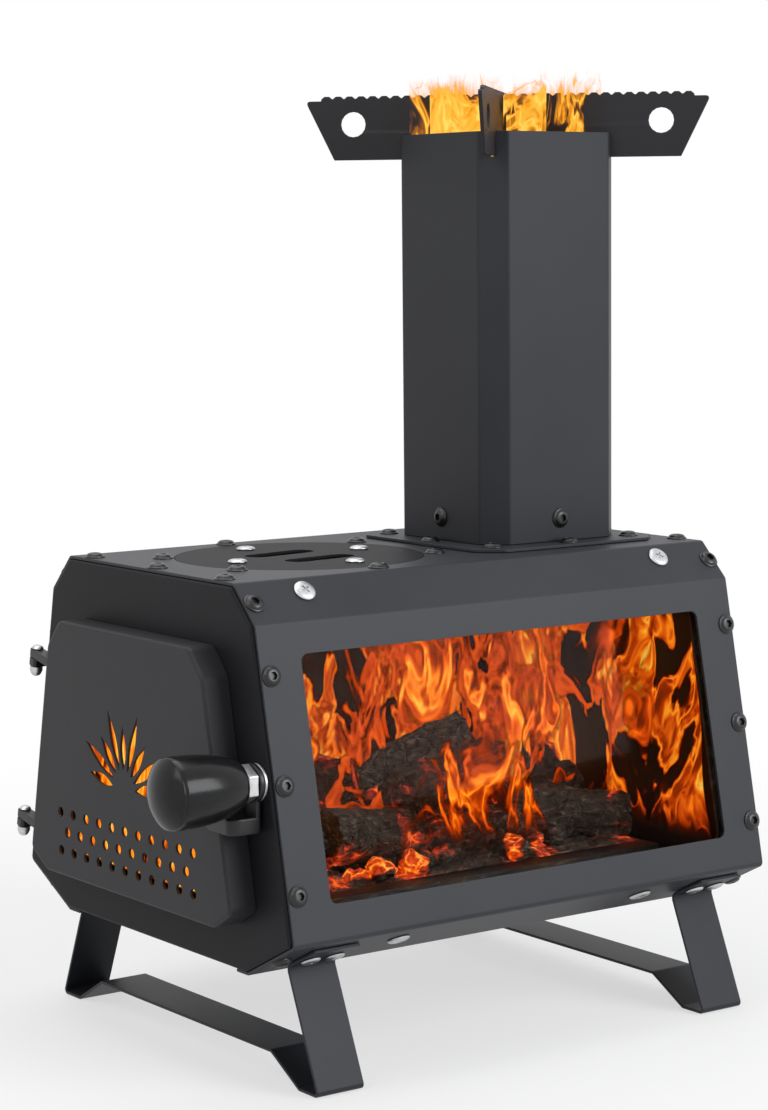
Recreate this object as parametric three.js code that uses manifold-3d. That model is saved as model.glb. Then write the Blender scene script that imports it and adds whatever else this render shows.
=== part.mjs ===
// Tent wood stove: a folded sheet firebox with a window, a hinged door, a lift-out cooking lid,
// a square flue with a crossed pot rack and two bent strap legs.
// Millimetres. X runs along the firebox (door at -X), Y towards the back, Z up from the ground.

import * as THREE from "three";
import { mergeVertices } from "three/addons/utils/BufferGeometryUtils.js";
import Module from "manifold-3d";

const wasm = await Module();
wasm.setup();

// ---- Driving dimensions -------------------------------------------------------------------

// Sheet metal and clearances
const sheet = 1.5;
const gap = 0.3;

// Firebox length: the window and the stile at each end of it
const windowWidth = 250;
const windowStile = 25;
const bodyLength = windowWidth + 2 * windowStile;

// Firebox cross-section, measured outside
const groundClearance = 55;
const bodyHeight = 188.5;
const shoulderRun = 18.5;
const shoulderDrop = 18.5;
const hipWidth = 253;
const hipRise = 20.5;
const bottomWidth = 172;
const shellLip = 10;
const endPlateProud = 1.5;
const endFlangeDepth = 12;
const floorFlangeStop = 13.4;

// Black button-head screws that hold the end plates, the lid ring and the flue collar
const blackHeadRadius = 5.25;
const blackHeadHeight = 2.9;
const blackCrownRadius = 3.1;
const blackShankRadius = 2.4;
const doorScrewInset = 7;
const chimneyScrewInset = 5.5;
const topScrewSpacing = 62;
const sideScrewSpacing = 52;

// Silver truss-head screws
const silverHeadRadius = 4.9;
const silverHeadHeight = 2;
const silverShankRadius = 2;
const silverShankLength = 8;

// Window in the front wall
const windowHeight = 119;
const windowRaise = 1.2;
const windowCorner = 4;
const glassThickness = 3;
const glassOverlap = 8;
const gasketThickness = 1;
const gasketWidth = 6;
const retainerOverhang = 2;
const retainerStopTop = 5;
const retainerStopBottom = 9;
const retainerSight = 1;
const windowScrewTopX = 112;
const windowScrewBottomX = 77;
const windowScrewRise = 4.5;
const windowHeadRadius = 5.7;

// Fire grate
const grateLength = 250;
const grateWidth = 140;
const grateHeight = 22;
const grateSheet = 2;
const grateSlotLength = 104;
const grateSlotWidth = 9;
const grateSlotPitch = 28;
const grateSlotCount = 8;

// Cooking lid, its seat ring and the pan under it
const lidSeatClearance = 4;
const lidRingRim = 12;
const lidSeatWidth = 7;
const lidRingScrewInset = 6;
const lidRingScrews = 6;
const lidTopMargin = 2;
const lidSlotLength = 43;
const lidSlotWidth = 14;
const lidSlotSpacing = 31;
const lidScrewInset = 22;
const lidScrewTurn = 8;
const underPanInset = 12;
const underPanRim = 15;
const underPanDepth = 5;

// Flue
const flueEndSpace = 72;
const flueSide = 90;
const flueChamfer = 11.6;
const flueHeight = 214;
const collarSide = 120;
const collarChamfer = 12;
const collarUpstand = 24;
const collarScrewReach = 52;
const collarCornerReach = 46;
const flueScrewHeight = 12;

// Pot rack
const rackLength = 217;
const rackFootLength = 186;
const rackHeight = 34;
const rackSheet = 2;
const rackNotchDepth = 12.7;
const rackCornerRadius = 3;
const rackStepDown = 2.4;
const rackLandLength = 8.5;
const scallopPitch = 6.2;
const scallopDepth = 1.3;
const rackHoleRadius = 6.7;
const rackHoleReach = 82.5;
const rackHoleHeight = 19;

// Legs
const legSheet = 1.5;
const legWidth = 27;
const legDoorInset = 30.5;
const legChimneyInset = 25.5;
const footSpread = 245;
const footLength = 17.5;
const braceSpread = 162;
const braceClearance = 13.5;
const tabStart = 12;
const tabStop = 8.4;
const legScrewSpacing = 14;

// Door
const doorDepth = 15;
const doorTopWidth = 126;
const doorSideMargin = 26.7;
const doorShoulderDrop = 13.5;
const doorBottomWidth = 162;
const doorHipRise = 9.5;
const doorBottomHeight = 79.5;
const doorHeight = 133;
const doorOverlap = 8;
const ventRadius = 2.6;
const ventPitch = 12.8;
const ventRowPitch = 10;
const ventTopRow = 113;
const ventCounts = [11, 10, 11];
const fanCentreHeight = 133;
const fanRays = 9;
const fanSweep = 160;
const rayInnerRadius = 11;
const rayLengths = [22, 31];
const rayWidth = 5.4;

// Hinges
const hingeReach = 8;
const hingeEdgeInset = 5.5;
const upperHingeHeight = 189;
const lowerHingeHeight = 101;
const lugRadius = 3.3;
const lugThickness = 4.4;
const pinRadius = 1.7;
const pinHeadRadius = 3;
const pinHeadHeight = 1.6;
const pinNutRadius = 3.3;
const pinNutHeight = 5.4;
const pinEnd = 3.6;

// Latch and knob
const latchHeight = 151.3;
const latchEdgeInset = 11.7;
const boltRadius = 4.8;
const boltHeadRadius = 7.4;
const boltHeadHeight = 3;
const washerRadius = 9.2;
const washerThickness = 1.5;
const armHubRadius = 9.5;
const armThickness = 2.5;
const armWidth = 10;
const armDrop = 15.5;
const hookHeight = 8;
const hookThickness = 3;
const hookBend = 6;
const hookFinger = 9;
const nutAcrossFlats = 16.6;
const nutThickness = 5.5;
const knobLength = 46;
const knobNeckRadius = 10.4;
const knobRadius = 17.4;
const knobCrown = 6.5;
const boltInKnob = 24;

// ---- Colours ------------------------------------------------------------------------------

const finish = (color, roughness, metalness) =>
  new THREE.MeshStandardMaterial({ color, roughness, metalness });

const blackCoat = finish(0x2b2b2e, 0.55, 0.2);
const legCoat = finish(0x34353a, 0.5, 0.2);
const rackCoat = finish(0x232327, 0.6, 0.2);
const brightSteel = finish(0xd9d9db, 0.25, 1);
const glossBlack = finish(0x141416, 0.18, 0);
const clearGlass = finish(0x6b4a30, 0.05, 0);
const fibre = finish(0x3a3835, 0.95, 0);
const rawSteel = finish(0x4a4643, 0.7, 0.6);

// ---- Plane geometry in (y, z) -------------------------------------------------------------

const point = (y, z) => new THREE.Vector2(y, z);

/** The meeting point of two lines, each given by a point and a direction. */
function meet(p, d, q, e) {
  const along = (q.clone().sub(p)).cross(e) / d.cross(e);
  return p.clone().addScaledVector(d, along);
}

/** A path moved to its left by `distance`; a closed path runs anticlockwise and shrinks. */
function offsetPath(points, distance, closed) {
  const count = points.length;
  const steps = closed ? count : count - 1;
  const sides = [];
  for (let i = 0; i < steps; i += 1) {
    const start = points[i];
    const direction = points[(i + 1) % count].clone().sub(start).normalize();
    const left = point(-direction.y, direction.x);
    sides.push({ start: start.clone().addScaledVector(left, distance), direction, left });
  }
  return points.map((corner, i) => {
    const before = sides[closed ? (i + steps - 1) % steps : i - 1];
    const after = sides[closed ? i : Math.min(i, steps - 1)];
    if (!closed && (i === 0 || i === count - 1)) {
      return corner.clone().addScaledVector(after.left, distance);
    }
    return meet(before.start, before.direction, after.start, after.direction);
  });
}

/** The outline of a sheet that follows an open path, with its thickness on the left. */
function stripShape(path, thickness) {
  return new THREE.Shape([...path, ...offsetPath(path, thickness, false).reverse()]);
}

// ---- Solids -------------------------------------------------------------------------------

const alongX = new THREE.Matrix4().makeBasis(
  new THREE.Vector3(0, 1, 0), new THREE.Vector3(0, 0, 1), new THREE.Vector3(1, 0, 0));

/** A closed mesh as a solid that can be cut and joined. */
function solid(geometry, matrix) {
  const bare = geometry.clone();
  bare.deleteAttribute("normal");
  bare.deleteAttribute("uv");
  if (matrix) bare.applyMatrix4(matrix);
  const merged = mergeVertices(bare, 1e-4);
  const vertProperties = new Float32Array(merged.attributes.position.array);
  const triVerts = new Uint32Array(merged.index.array);
  return new wasm.Manifold(new wasm.Mesh({ numProp: 3, vertProperties, triVerts }));
}

function joined(solids) {
  return solids.reduce((whole, piece) => whole.add(piece));
}

function cut(whole, tools) {
  return tools.reduce((rest, tool) => rest.subtract(tool), whole);
}

function toGeometry(shape) {
  const mesh = shape.getMesh();
  const geometry = new THREE.BufferGeometry();
  const position = new Float32Array(mesh.vertProperties);
  geometry.setAttribute("position", new THREE.BufferAttribute(position, 3));
  geometry.setIndex(new THREE.BufferAttribute(new Uint32Array(mesh.triVerts), 1));
  geometry.computeVertexNormals();
  return geometry;
}

/** A (y, z) outline drawn out along X from x0 to x1. */
function prismX(shape, x0, x1) {
  const options = { depth: x1 - x0, bevelEnabled: false, curveSegments: 6 };
  const geometry = new THREE.ExtrudeGeometry(shape, options);
  return solid(geometry, new THREE.Matrix4().makeTranslation(x0, 0, 0).multiply(alongX));
}

/** An (x, y) outline drawn up from z0 to z1. */
function prismZ(shape, z0, z1, curveSegments = 8) {
  const geometry = new THREE.ExtrudeGeometry(shape, { depth: z1 - z0, bevelEnabled: false, curveSegments });
  return solid(geometry, new THREE.Matrix4().makeTranslation(0, 0, z0));
}

function block(x0, x1, y0, y1, z0, z1) {
  const geometry = new THREE.BoxGeometry(x1 - x0, y1 - y0, z1 - z0);
  const middle = new THREE.Matrix4().makeTranslation((x0 + x1) / 2, (y0 + y1) / 2, (z0 + z1) / 2);
  return solid(geometry, middle);
}

/** A solid of revolution about local Z from [radius, height] pairs that start and end on the axis. */
function turned(profile, segments = 16) {
  const points = profile.map(([radius, height]) => new THREE.Vector2(radius, height));
  return solid(new THREE.LatheGeometry(points, segments), new THREE.Matrix4().makeRotationX(Math.PI / 2));
}

function rod(radius, z0, z1, segments = 12) {
  return turned([[0, z0], [radius, z0], [radius, z1], [0, z1]], segments);
}

function ring(inner, outer, z0, z1, segments = 48) {
  return turned([[0, z0], [outer, z0], [outer, z1], [0, z1]], segments)
    .subtract(rod(inner, z0 - 1, z1 + 1, segments));
}

const moved = (shape, matrix) => solid(toGeometry(shape), matrix);

function roundedRectangle(width, height, radius) {
  const x = width / 2;
  const y = height / 2;
  const shape = new THREE.Shape();
  shape.moveTo(-x + radius, -y);
  shape.lineTo(x - radius, -y);
  shape.absarc(x - radius, -y + radius, radius, -Math.PI / 2, 0);
  shape.absarc(x - radius, y - radius, radius, 0, Math.PI / 2);
  shape.absarc(-x + radius, y - radius, radius, Math.PI / 2, Math.PI);
  shape.absarc(-x + radius, -y + radius, radius, Math.PI, Math.PI * 1.5);
  return shape;
}

/** A square with its corners cut at 45 degrees, measured outside and drawn in by `inset`. */
function chamferedSquare(side, chamfer, inset = 0) {
  const half = side / 2;
  const flat = half - chamfer;
  const corners = [
    [flat, -half], [half, -flat], [half, flat], [flat, half],
    [-flat, half], [-half, flat], [-half, -flat], [-flat, -half],
  ].map(([x, y]) => point(x, y));
  return new THREE.Shape(inset ? offsetPath(corners, inset, true) : corners);
}

/** A rounded slot from (0, y0) to (0, y1) along Y. */
function slotShape(y0, y1, width) {
  const half = width / 2;
  const shape = new THREE.Shape();
  shape.absarc(0, y1 - half, half, 0, Math.PI);
  shape.absarc(0, y0 + half, half, Math.PI, Math.PI * 2);
  return shape;
}

// ---- Firebox outline and its walls --------------------------------------------------------

const bodyTop = groundClearance + bodyHeight;
const flueX = bodyLength / 2 - flueEndSpace;

// The lid's seat fills the top between the door end's flange and the flue's collar
const lidSeatStart = -bodyLength / 2 + endFlangeDepth + lidSeatClearance;
const lidSeatEnd = flueX - collarSide / 2;
const lidCentreX = (lidSeatStart + lidSeatEnd) / 2;
const lidRingOuterRadius = (lidSeatEnd - lidSeatStart) / 2;
const lidRingScrewRadius = lidRingOuterRadius - lidRingScrewInset;
const lidRadius = lidRingOuterRadius - lidRingRim;
const lidScrewRadius = lidRadius - lidScrewInset;
const underPanRadius = lidRadius - underPanInset;
const topWidth = 2 * (lidRingOuterRadius + lidTopMargin);
const shoulderWidth = topWidth + 2 * shoulderRun;

const bottomEnd = point(bottomWidth / 2, groundClearance);
const hip = point(hipWidth / 2, groundClearance + hipRise);
const shoulder = point(shoulderWidth / 2, bodyTop - shoulderDrop);
const topEnd = point(topWidth / 2, bodyTop);
const mirrored = (p) => point(-p.x, p.y);

const bodyOutline = [
  bottomEnd, hip, shoulder, topEnd, mirrored(topEnd), mirrored(shoulder), mirrored(hip), mirrored(bottomEnd),
];
const wallNames = ["lowerBack", "back", "upperBack", "top", "upperFront", "front", "lowerFront", "bottom"];

/** Each wall's ends, length and a frame: X along the firebox, Z straight out of the wall. */
const walls = Object.fromEntries(wallNames.map((name, i) => {
  const start = bodyOutline[i];
  const end = bodyOutline[(i + 1) % bodyOutline.length];
  const direction = end.clone().sub(start).normalize();
  const middle = start.clone().add(end).multiplyScalar(0.5);
  const outward = new THREE.Vector3(0, direction.y, -direction.x);
  const across = outward.clone().cross(new THREE.Vector3(1, 0, 0));
  const frame = new THREE.Matrix4().makeBasis(new THREE.Vector3(1, 0, 0), across, outward);
  frame.setPosition(0, middle.x, middle.y);
  return [name, { start, end, direction, frame, length: start.distanceTo(end) }];
}));

/** The place on a wall at x and `across` from its middle, `proud` of the outside face. */
function onWall(name, x, across = 0, proud = 0) {
  return walls[name].frame.clone().multiply(new THREE.Matrix4().makeTranslation(x, across, proud));
}

/** A wall's line in (y, z), drawn in by `inset`. */
function wallLine(name, inset) {
  const { start, end, direction } = walls[name];
  const [from] = offsetPath([start, end], inset, false);
  return { from, direction };
}

const wallSlope = (hipWidth - shoulderWidth) / 2 / (shoulder.y - hip.y);
const wallTilt = Math.atan(wallSlope);
const halfWidthAt = (z) => shoulderWidth / 2 + (shoulder.y - z) * wallSlope;
const doorShoulderHeight = doorBottomHeight + doorHeight - doorShoulderDrop;
const doorShoulderWidth = 2 * (halfWidthAt(doorShoulderHeight) - doorSideMargin);

const doorFaceX = -bodyLength / 2;
const shellStartX = doorFaceX + endPlateProud;
const shellEndX = bodyLength / 2 - endPlateProud;
const doorScrewX = doorFaceX + doorScrewInset;
const chimneyScrewX = bodyLength / 2 - chimneyScrewInset;
const nestInset = sheet + gap;

// ---- Screws -------------------------------------------------------------------------------

/** A button-head screw: its head stands on `seat`, its shank reaches down to `tip`. */
function blackScrew(seat, tip) {
  return turned([
    [0, tip], [blackShankRadius, tip], [blackShankRadius, seat], [blackHeadRadius, seat],
    [blackHeadRadius, seat + blackHeadHeight * 0.3], [blackCrownRadius, seat + blackHeadHeight],
    [0, seat + blackHeadHeight],
  ], 8);
}

const blackHole = () => rod(blackShankRadius + gap, -4 * sheet, 4 * sheet, 8);
const silverHole = () => rod(silverShankRadius + gap, -8 * sheet, 8 * sheet, 8);

function silverScrewGeometry(headRadius = silverHeadRadius) {
  return toGeometry(turned([
    [0, -silverShankLength], [silverShankRadius, -silverShankLength], [silverShankRadius, 0],
    [headRadius, 0], [headRadius * 0.72, silverHeadHeight * 0.75], [0, silverHeadHeight],
  ], 8));
}

/** Where the black screws of one end plate sit: wall name and distance across it. */
const endScrewPlaces = [
  ...[-topScrewSpacing, 0, topScrewSpacing].map((across) => ["top", across]),
  ["upperFront", 0], ["upperBack", 0], ["lowerFront", 0], ["lowerBack", 0],
  ...["front", "back"].flatMap((name) =>
    [-sideScrewSpacing, 0, sideScrewSpacing].map((across) => [name, across])),
];

const windowScrewPlaces = [
  ["upperFront", -windowScrewTopX], ["upperFront", windowScrewTopX],
  ["lowerFront", -windowScrewBottomX], ["lowerFront", windowScrewBottomX],
].map(([name, x]) => [name, x, windowScrewRise]);

const legPlaces = {
  leg_door_end: doorFaceX + legDoorInset,
  leg_chimney_end: bodyLength / 2 - legChimneyInset,
};
const legScrewPlaces = Object.values(legPlaces).flatMap((x) =>
  ["lowerFront", "lowerBack"].flatMap((name) =>
    [-legScrewSpacing / 2, legScrewSpacing / 2].map((shift) => [name, x + shift])));

const lidRingScrewPlaces = Array.from({ length: lidRingScrews }, (_, i) => {
  const angle = (Math.PI * 2 * (i + 0.5)) / lidRingScrews;
  return [lidCentreX + lidRingScrewRadius * Math.cos(angle), lidRingScrewRadius * Math.sin(angle)];
});

const collarScrewPlaces = [
  [-collarScrewReach, 0], [collarScrewReach, 0], [0, -collarScrewReach], [0, collarScrewReach],
  [-collarCornerReach, -collarCornerReach], [-collarCornerReach, collarCornerReach],
  [collarCornerReach, -collarCornerReach], [collarCornerReach, collarCornerReach],
];

// ---- The stove ----------------------------------------------------------------------------

const stove = new THREE.Group();

function place(parent, name, shape, material) {
  const geometry = shape.isBufferGeometry ? shape : toGeometry(shape);
  const mesh = new THREE.Mesh(geometry, material);
  mesh.name = name;
  parent.add(mesh);
  return mesh;
}

function placeAt(parent, name, shape, material, matrix) {
  const mesh = place(parent, name, shape, material);
  mesh.applyMatrix4(matrix);
  return mesh;
}

// Outer shell: one sheet folded round the top, both sides and both lower chamfers
const shellPath = [
  point(bottomEnd.x - shellLip, groundClearance),
  ...bodyOutline,
  point(shellLip - bottomEnd.x, groundClearance),
];
const collarInside = chamferedSquare(flueSide, flueChamfer, 2 * sheet + gap);
const atFlue = new THREE.Matrix4().makeTranslation(flueX, 0, 0);

function outerShell() {
  const folded = prismX(stripShape(shellPath, sheet), shellStartX, shellEndX);
  const windowTool = prismZ(roundedRectangle(windowWidth, windowHeight, windowCorner), -3 * sheet, sheet, 4);
  const lidTool = rod(lidRadius + gap, bodyTop - 3 * sheet, bodyTop + sheet, 48);
  const flueTool = prismZ(collarInside, bodyTop - 3 * sheet, bodyTop + sheet);
  const blackHoles = [
    ...[doorScrewX, chimneyScrewX].flatMap((x) =>
      endScrewPlaces.map(([name, across]) => onWall(name, x, across))),
    ...lidRingScrewPlaces.map(([x, y]) => new THREE.Matrix4().makeTranslation(x, y, bodyTop)),
    ...collarScrewPlaces.map(([x, y]) => new THREE.Matrix4().makeTranslation(flueX + x, y, bodyTop)),
  ].map((matrix) => moved(blackHole(), matrix));
  const silverHoles = [...windowScrewPlaces, ...legScrewPlaces].map(([name, x, across]) =>
    moved(silverHole(), onWall(name, x, across)));
  return cut(folded, [
    moved(windowTool, onWall("front", 0, windowRaise)),
    moved(lidTool, new THREE.Matrix4().makeTranslation(lidCentreX, 0, 0)),
    moved(flueTool, atFlue),
    ...blackHoles,
    ...silverHoles,
  ]);
}

// Floor panel: nests in the shell's lower chamfers and lies on its lips
function floorPanel() {
  const nested = offsetPath(bodyOutline, nestInset, true);
  const innerBottom = nested[0];
  const upChamfer = walls.lowerBack.direction;
  const flangeEnd = innerBottom.clone().addScaledVector(upChamfer, walls.lowerBack.length - floorFlangeStop);
  const path = [mirrored(flangeEnd), mirrored(innerBottom), innerBottom, flangeEnd];
  const length = bodyLength / 2 - endFlangeDepth - 2 * gap;
  const panel = prismX(stripShape(path, sheet), -length, length);
  const holes = [...windowScrewPlaces.slice(2), ...legScrewPlaces].map(([name, x, across]) =>
    moved(silverHole(), onWall(name, x, across)));
  return cut(panel, holes);
}

// End plates: shallow pans whose flanges nest inside the shell, with their screws
function endPlate(faceX, inwards, screwX) {
  const outline = new THREE.Shape(offsetPath(bodyOutline, nestInset, true));
  const inside = new THREE.Shape(offsetPath(bodyOutline, nestInset + sheet, true));
  const span = (a, b) => [Math.min(a, b), Math.max(a, b)];
  const full = prismX(outline, ...span(faceX, faceX + inwards * endFlangeDepth));
  const hollow = prismX(inside, ...span(faceX + inwards * sheet, faceX + inwards * (endFlangeDepth + 1)));
  const screws = endScrewPlaces.map(([name, across]) =>
    moved(blackScrew(gap, -nestInset - sheet / 2), onWall(name, screwX, across)));
  return joined([full.subtract(hollow), ...screws]);
}

// Door outline: its sides run parallel to the firebox walls
const doorTop = doorBottomHeight + doorHeight;
const doorShoulder = point(doorShoulderWidth / 2, doorTop - doorShoulderDrop);
const doorHipZ = doorBottomHeight + doorHipRise;
const doorHip = point(doorShoulder.x + (doorShoulder.y - doorHipZ) * wallSlope, doorHipZ);
const doorOutline = [
  point(doorBottomWidth / 2, doorBottomHeight), doorHip, doorShoulder, point(doorTopWidth / 2, doorTop),
  point(-doorTopWidth / 2, doorTop), mirrored(doorShoulder), mirrored(doorHip),
  point(-doorBottomWidth / 2, doorBottomHeight),
];
const doorSideAt = (z) => doorShoulder.x + (doorShoulder.y - z) * wallSlope;
const boltY = latchEdgeInset - halfWidthAt(latchHeight);

function doorEndPlate() {
  const opening = new THREE.Shape(offsetPath(doorOutline, doorOverlap, true));
  const boltHole = moved(rod(boltRadius + gap, doorFaceX - sheet, doorFaceX + 3 * sheet),
    new THREE.Matrix4().makeTranslation(0, boltY, latchHeight).multiply(
      new THREE.Matrix4().makeRotationY(Math.PI / 2)));
  return cut(endPlate(doorFaceX, 1, doorScrewX), [
    prismX(opening, doorFaceX - sheet, doorFaceX + 3 * sheet), boltHole,
  ]);
}

// Window: gasket, glass and the folded retainer behind the front wall
const gasketOut = -nestInset;
const glassOut = gasketOut - gasketThickness - gap;
const retainerOut = glassOut - glassThickness - gap;
const glassWidth = windowWidth + 2 * glassOverlap;
const glassHeight = windowHeight + 2 * glassOverlap;

function glassGasket() {
  const outer = roundedRectangle(glassWidth, glassHeight, windowCorner);
  const inside = [glassWidth - 2 * gasketWidth, glassHeight - 2 * gasketWidth];
  outer.holes.push(roundedRectangle(...inside, windowCorner));
  return prismZ(outer, -gasketThickness, 0, 3);
}

function glassRetainer() {
  const upper = wallLine("upperFront", nestInset);
  const face = wallLine("front", -retainerOut);
  const lower = wallLine("lowerFront", nestInset + sheet + gap);
  const bendTop = meet(upper.from, upper.direction, face.from, face.direction);
  const bendBottom = meet(face.from, face.direction, lower.from, lower.direction);
  const path = [
    upper.from.clone().addScaledVector(upper.direction, retainerStopTop), bendTop, bendBottom,
    lower.from.clone().addScaledVector(lower.direction, walls.lowerFront.length - retainerStopBottom),
  ];
  const reachX = glassWidth / 2 + retainerOverhang;
  const folded = prismX(stripShape(path, sheet), -reachX, reachX);
  const sightSize = [windowWidth + 2 * retainerSight, windowHeight + 2 * retainerSight];
  const sight = roundedRectangle(...sightSize, windowCorner);
  const sightTool = prismZ(sight, retainerOut - 3 * sheet, retainerOut + sheet, 3);
  const frontLegScrews = legScrewPlaces.filter(([name]) => name === "lowerFront");
  const holes = [...windowScrewPlaces, ...frontLegScrews].map(([name, x, across]) =>
    moved(silverHole(), onWall(name, x, across)));
  return cut(folded, [moved(sightTool, onWall("front", 0, windowRaise)), ...holes]);
}

// Fire grate: a slotted table that stands on the floor panel by its folded edges
const floorInsideZ = groundClearance + nestInset + sheet;
const grateFootZ = floorInsideZ + gap;

function fireGrate() {
  const half = grateWidth / 2;
  const path = [
    point(half, grateFootZ), point(half, grateFootZ + grateHeight),
    point(-half, grateFootZ + grateHeight), point(-half, grateFootZ),
  ];
  const table = prismX(stripShape(path, grateSheet), -grateLength / 2, grateLength / 2);
  const slots = Array.from({ length: grateSlotCount }, (_, i) => {
    const x = (i - (grateSlotCount - 1) / 2) * grateSlotPitch;
    return block(x - grateSlotWidth / 2, x + grateSlotWidth / 2, -grateSlotLength / 2, grateSlotLength / 2,
      grateFootZ + grateHeight - 2 * grateSheet, grateFootZ + grateHeight + grateSheet);
  });
  return cut(table, slots);
}

place(stove, "outer_shell", outerShell(), blackCoat);
place(stove, "floor_panel", floorPanel(), rawSteel);
place(stove, "door_end_plate", doorEndPlate(), blackCoat);
place(stove, "chimney_end_plate", endPlate(bodyLength / 2, -1, chimneyScrewX), blackCoat);
placeAt(stove, "glass_gasket", glassGasket(), fibre, onWall("front", 0, windowRaise, gasketOut));
const pane = prismZ(roundedRectangle(glassWidth, glassHeight, windowCorner), -glassThickness, 0, 3);
placeAt(stove, "window_glass", pane, clearGlass, onWall("front", 0, windowRaise, glassOut));
place(stove, "glass_retainer", glassRetainer(), rawSteel);
place(stove, "fire_grate", fireGrate(), rawSteel);
windowScrewPlaces.forEach(([name, x, across], i) => {
  placeAt(stove, `window_screw_${i + 1}`, silverScrewGeometry(windowHeadRadius), brightSteel,
    onWall(name, x, across, gap));
});

// ---- Legs ---------------------------------------------------------------------------------

/** The strap's ground-side line, from the front tab round to the back tab. */
function legPath() {
  const tabLine = offsetPath([walls.lowerFront.start, walls.lowerFront.end], -(gap + legSheet), false);
  const inwardsDown = walls.lowerFront.direction;
  const fromBottom = (distance) => tabLine[1].clone().addScaledVector(inwardsDown, -distance);
  const front = [
    fromBottom(walls.lowerFront.length - tabStop), fromBottom(tabStart), point(-footSpread / 2, 0),
    point(-footSpread / 2 + footLength, 0), point(-braceSpread / 2, braceClearance),
  ];
  return [...front, ...front.map(mirrored).reverse()];
}

function leg(x) {
  const strap = prismX(stripShape(legPath(), legSheet), -legWidth / 2, legWidth / 2);
  const holes = legScrewPlaces.filter(([, screwX]) => Math.abs(screwX - x) < legWidth / 2)
    .map(([name, screwX]) => moved(silverHole(), onWall(name, screwX - x)));
  return cut(strap, holes);
}

for (const [name, x] of Object.entries(legPlaces)) {
  place(stove, name, leg(x), legCoat).position.x = x;
}
legScrewPlaces.forEach(([name, x], i) => {
  placeAt(stove, `leg_screw_${i + 1}`, silverScrewGeometry(), brightSteel,
    onWall(name, x, 0, 2 * gap + legSheet));
});

// ---- Cooking lid --------------------------------------------------------------------------

const lidGroup = new THREE.Group();
lidGroup.position.set(lidCentreX, 0, bodyTop);
stove.add(lidGroup);

const lidScrewAngles = [0, 90, 180, 270].map((degrees) => THREE.MathUtils.degToRad(degrees + lidScrewTurn));
const lidScrewPlaces = lidScrewAngles.map((angle) => {
  const out = new THREE.Vector3(Math.cos(angle), Math.sin(angle), 0).multiplyScalar(lidScrewRadius);
  return new THREE.Matrix4().setPosition(out);
});

function lidSeatRing() {
  const flat = ring(lidRadius - lidSeatWidth, lidRingOuterRadius, -nestInset - sheet, -nestInset);
  const screws = lidRingScrewPlaces.map(([x, y]) => moved(blackScrew(gap, -nestInset - sheet / 2),
    new THREE.Matrix4().makeTranslation(x - lidCentreX, y, 0)));
  return joined([flat, ...screws]);
}

function cookingLid() {
  const disc = rod(lidRadius, -sheet, 0, 48);
  const slotOutline = slotShape(-lidSlotLength / 2, lidSlotLength / 2, lidSlotWidth);
  const slotTool = prismZ(slotOutline, -2 * sheet, sheet, 8);
  const turn = new THREE.Matrix4().makeRotationZ(THREE.MathUtils.degToRad(lidScrewTurn));
  const slots = [-1, 1].map((side) => moved(slotTool, turn.clone()
    .multiply(new THREE.Matrix4().makeTranslation(0, (side * lidSlotSpacing) / 2, 0))
    .multiply(new THREE.Matrix4().makeRotationZ(Math.PI / 2))));
  return cut(disc, [...slots, ...lidScrewPlaces.map((matrix) => moved(silverHole(), matrix))]);
}

/** A pressed dish under the lid: its rim meets the lid, its middle leaves room for a lifter. */
function lidUnderPan() {
  const rimZ = -sheet - gap;
  const dishRadius = underPanRadius - underPanRim;
  const wallRun = underPanDepth / 2;
  const dish = turned([
    [0, rimZ - underPanDepth - sheet], [dishRadius - wallRun, rimZ - underPanDepth - sheet],
    [dishRadius, rimZ - sheet], [underPanRadius, rimZ - sheet], [underPanRadius, rimZ],
    [dishRadius, rimZ], [dishRadius - wallRun, rimZ - underPanDepth], [0, rimZ - underPanDepth],
  ], 40);
  return cut(dish, lidScrewPlaces.map((matrix) => moved(silverHole(), matrix)));
}

place(lidGroup, "lid_seat_ring", lidSeatRing(), blackCoat);
place(lidGroup, "cooking_lid", cookingLid(), blackCoat);
place(lidGroup, "lid_under_pan", lidUnderPan(), rawSteel);
lidScrewPlaces.forEach((matrix, i) => {
  const proud = new THREE.Matrix4().makeTranslation(0, 0, gap);
  const seat = matrix.clone().multiply(proud);
  placeAt(lidGroup, `lid_screw_${i + 1}`, silverScrewGeometry(), brightSteel, seat);
});

// ---- Flue and pot rack --------------------------------------------------------------------

const flueGroup = new THREE.Group();
flueGroup.position.set(flueX, 0, bodyTop);
stove.add(flueGroup);

const collarFloor = gap;
const tubeBase = collarFloor + sheet + gap;
const tubeTop = tubeBase + flueHeight;
const flueScrewZ = tubeBase + flueScrewHeight;
const quarterTurns = [0, 1, 2, 3].map((turn) => new THREE.Matrix4().makeRotationZ((turn * Math.PI) / 2));
const outOfFace = new THREE.Matrix4().makeRotationY(Math.PI / 2);

/** The four places on the flue's flat faces, Z straight out of each face. */
const flueScrewPlaces = quarterTurns.map((turn) => {
  const out = new THREE.Matrix4().makeTranslation(flueSide / 2, 0, flueScrewZ);
  return turn.clone().multiply(out).multiply(outOfFace);
});

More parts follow.
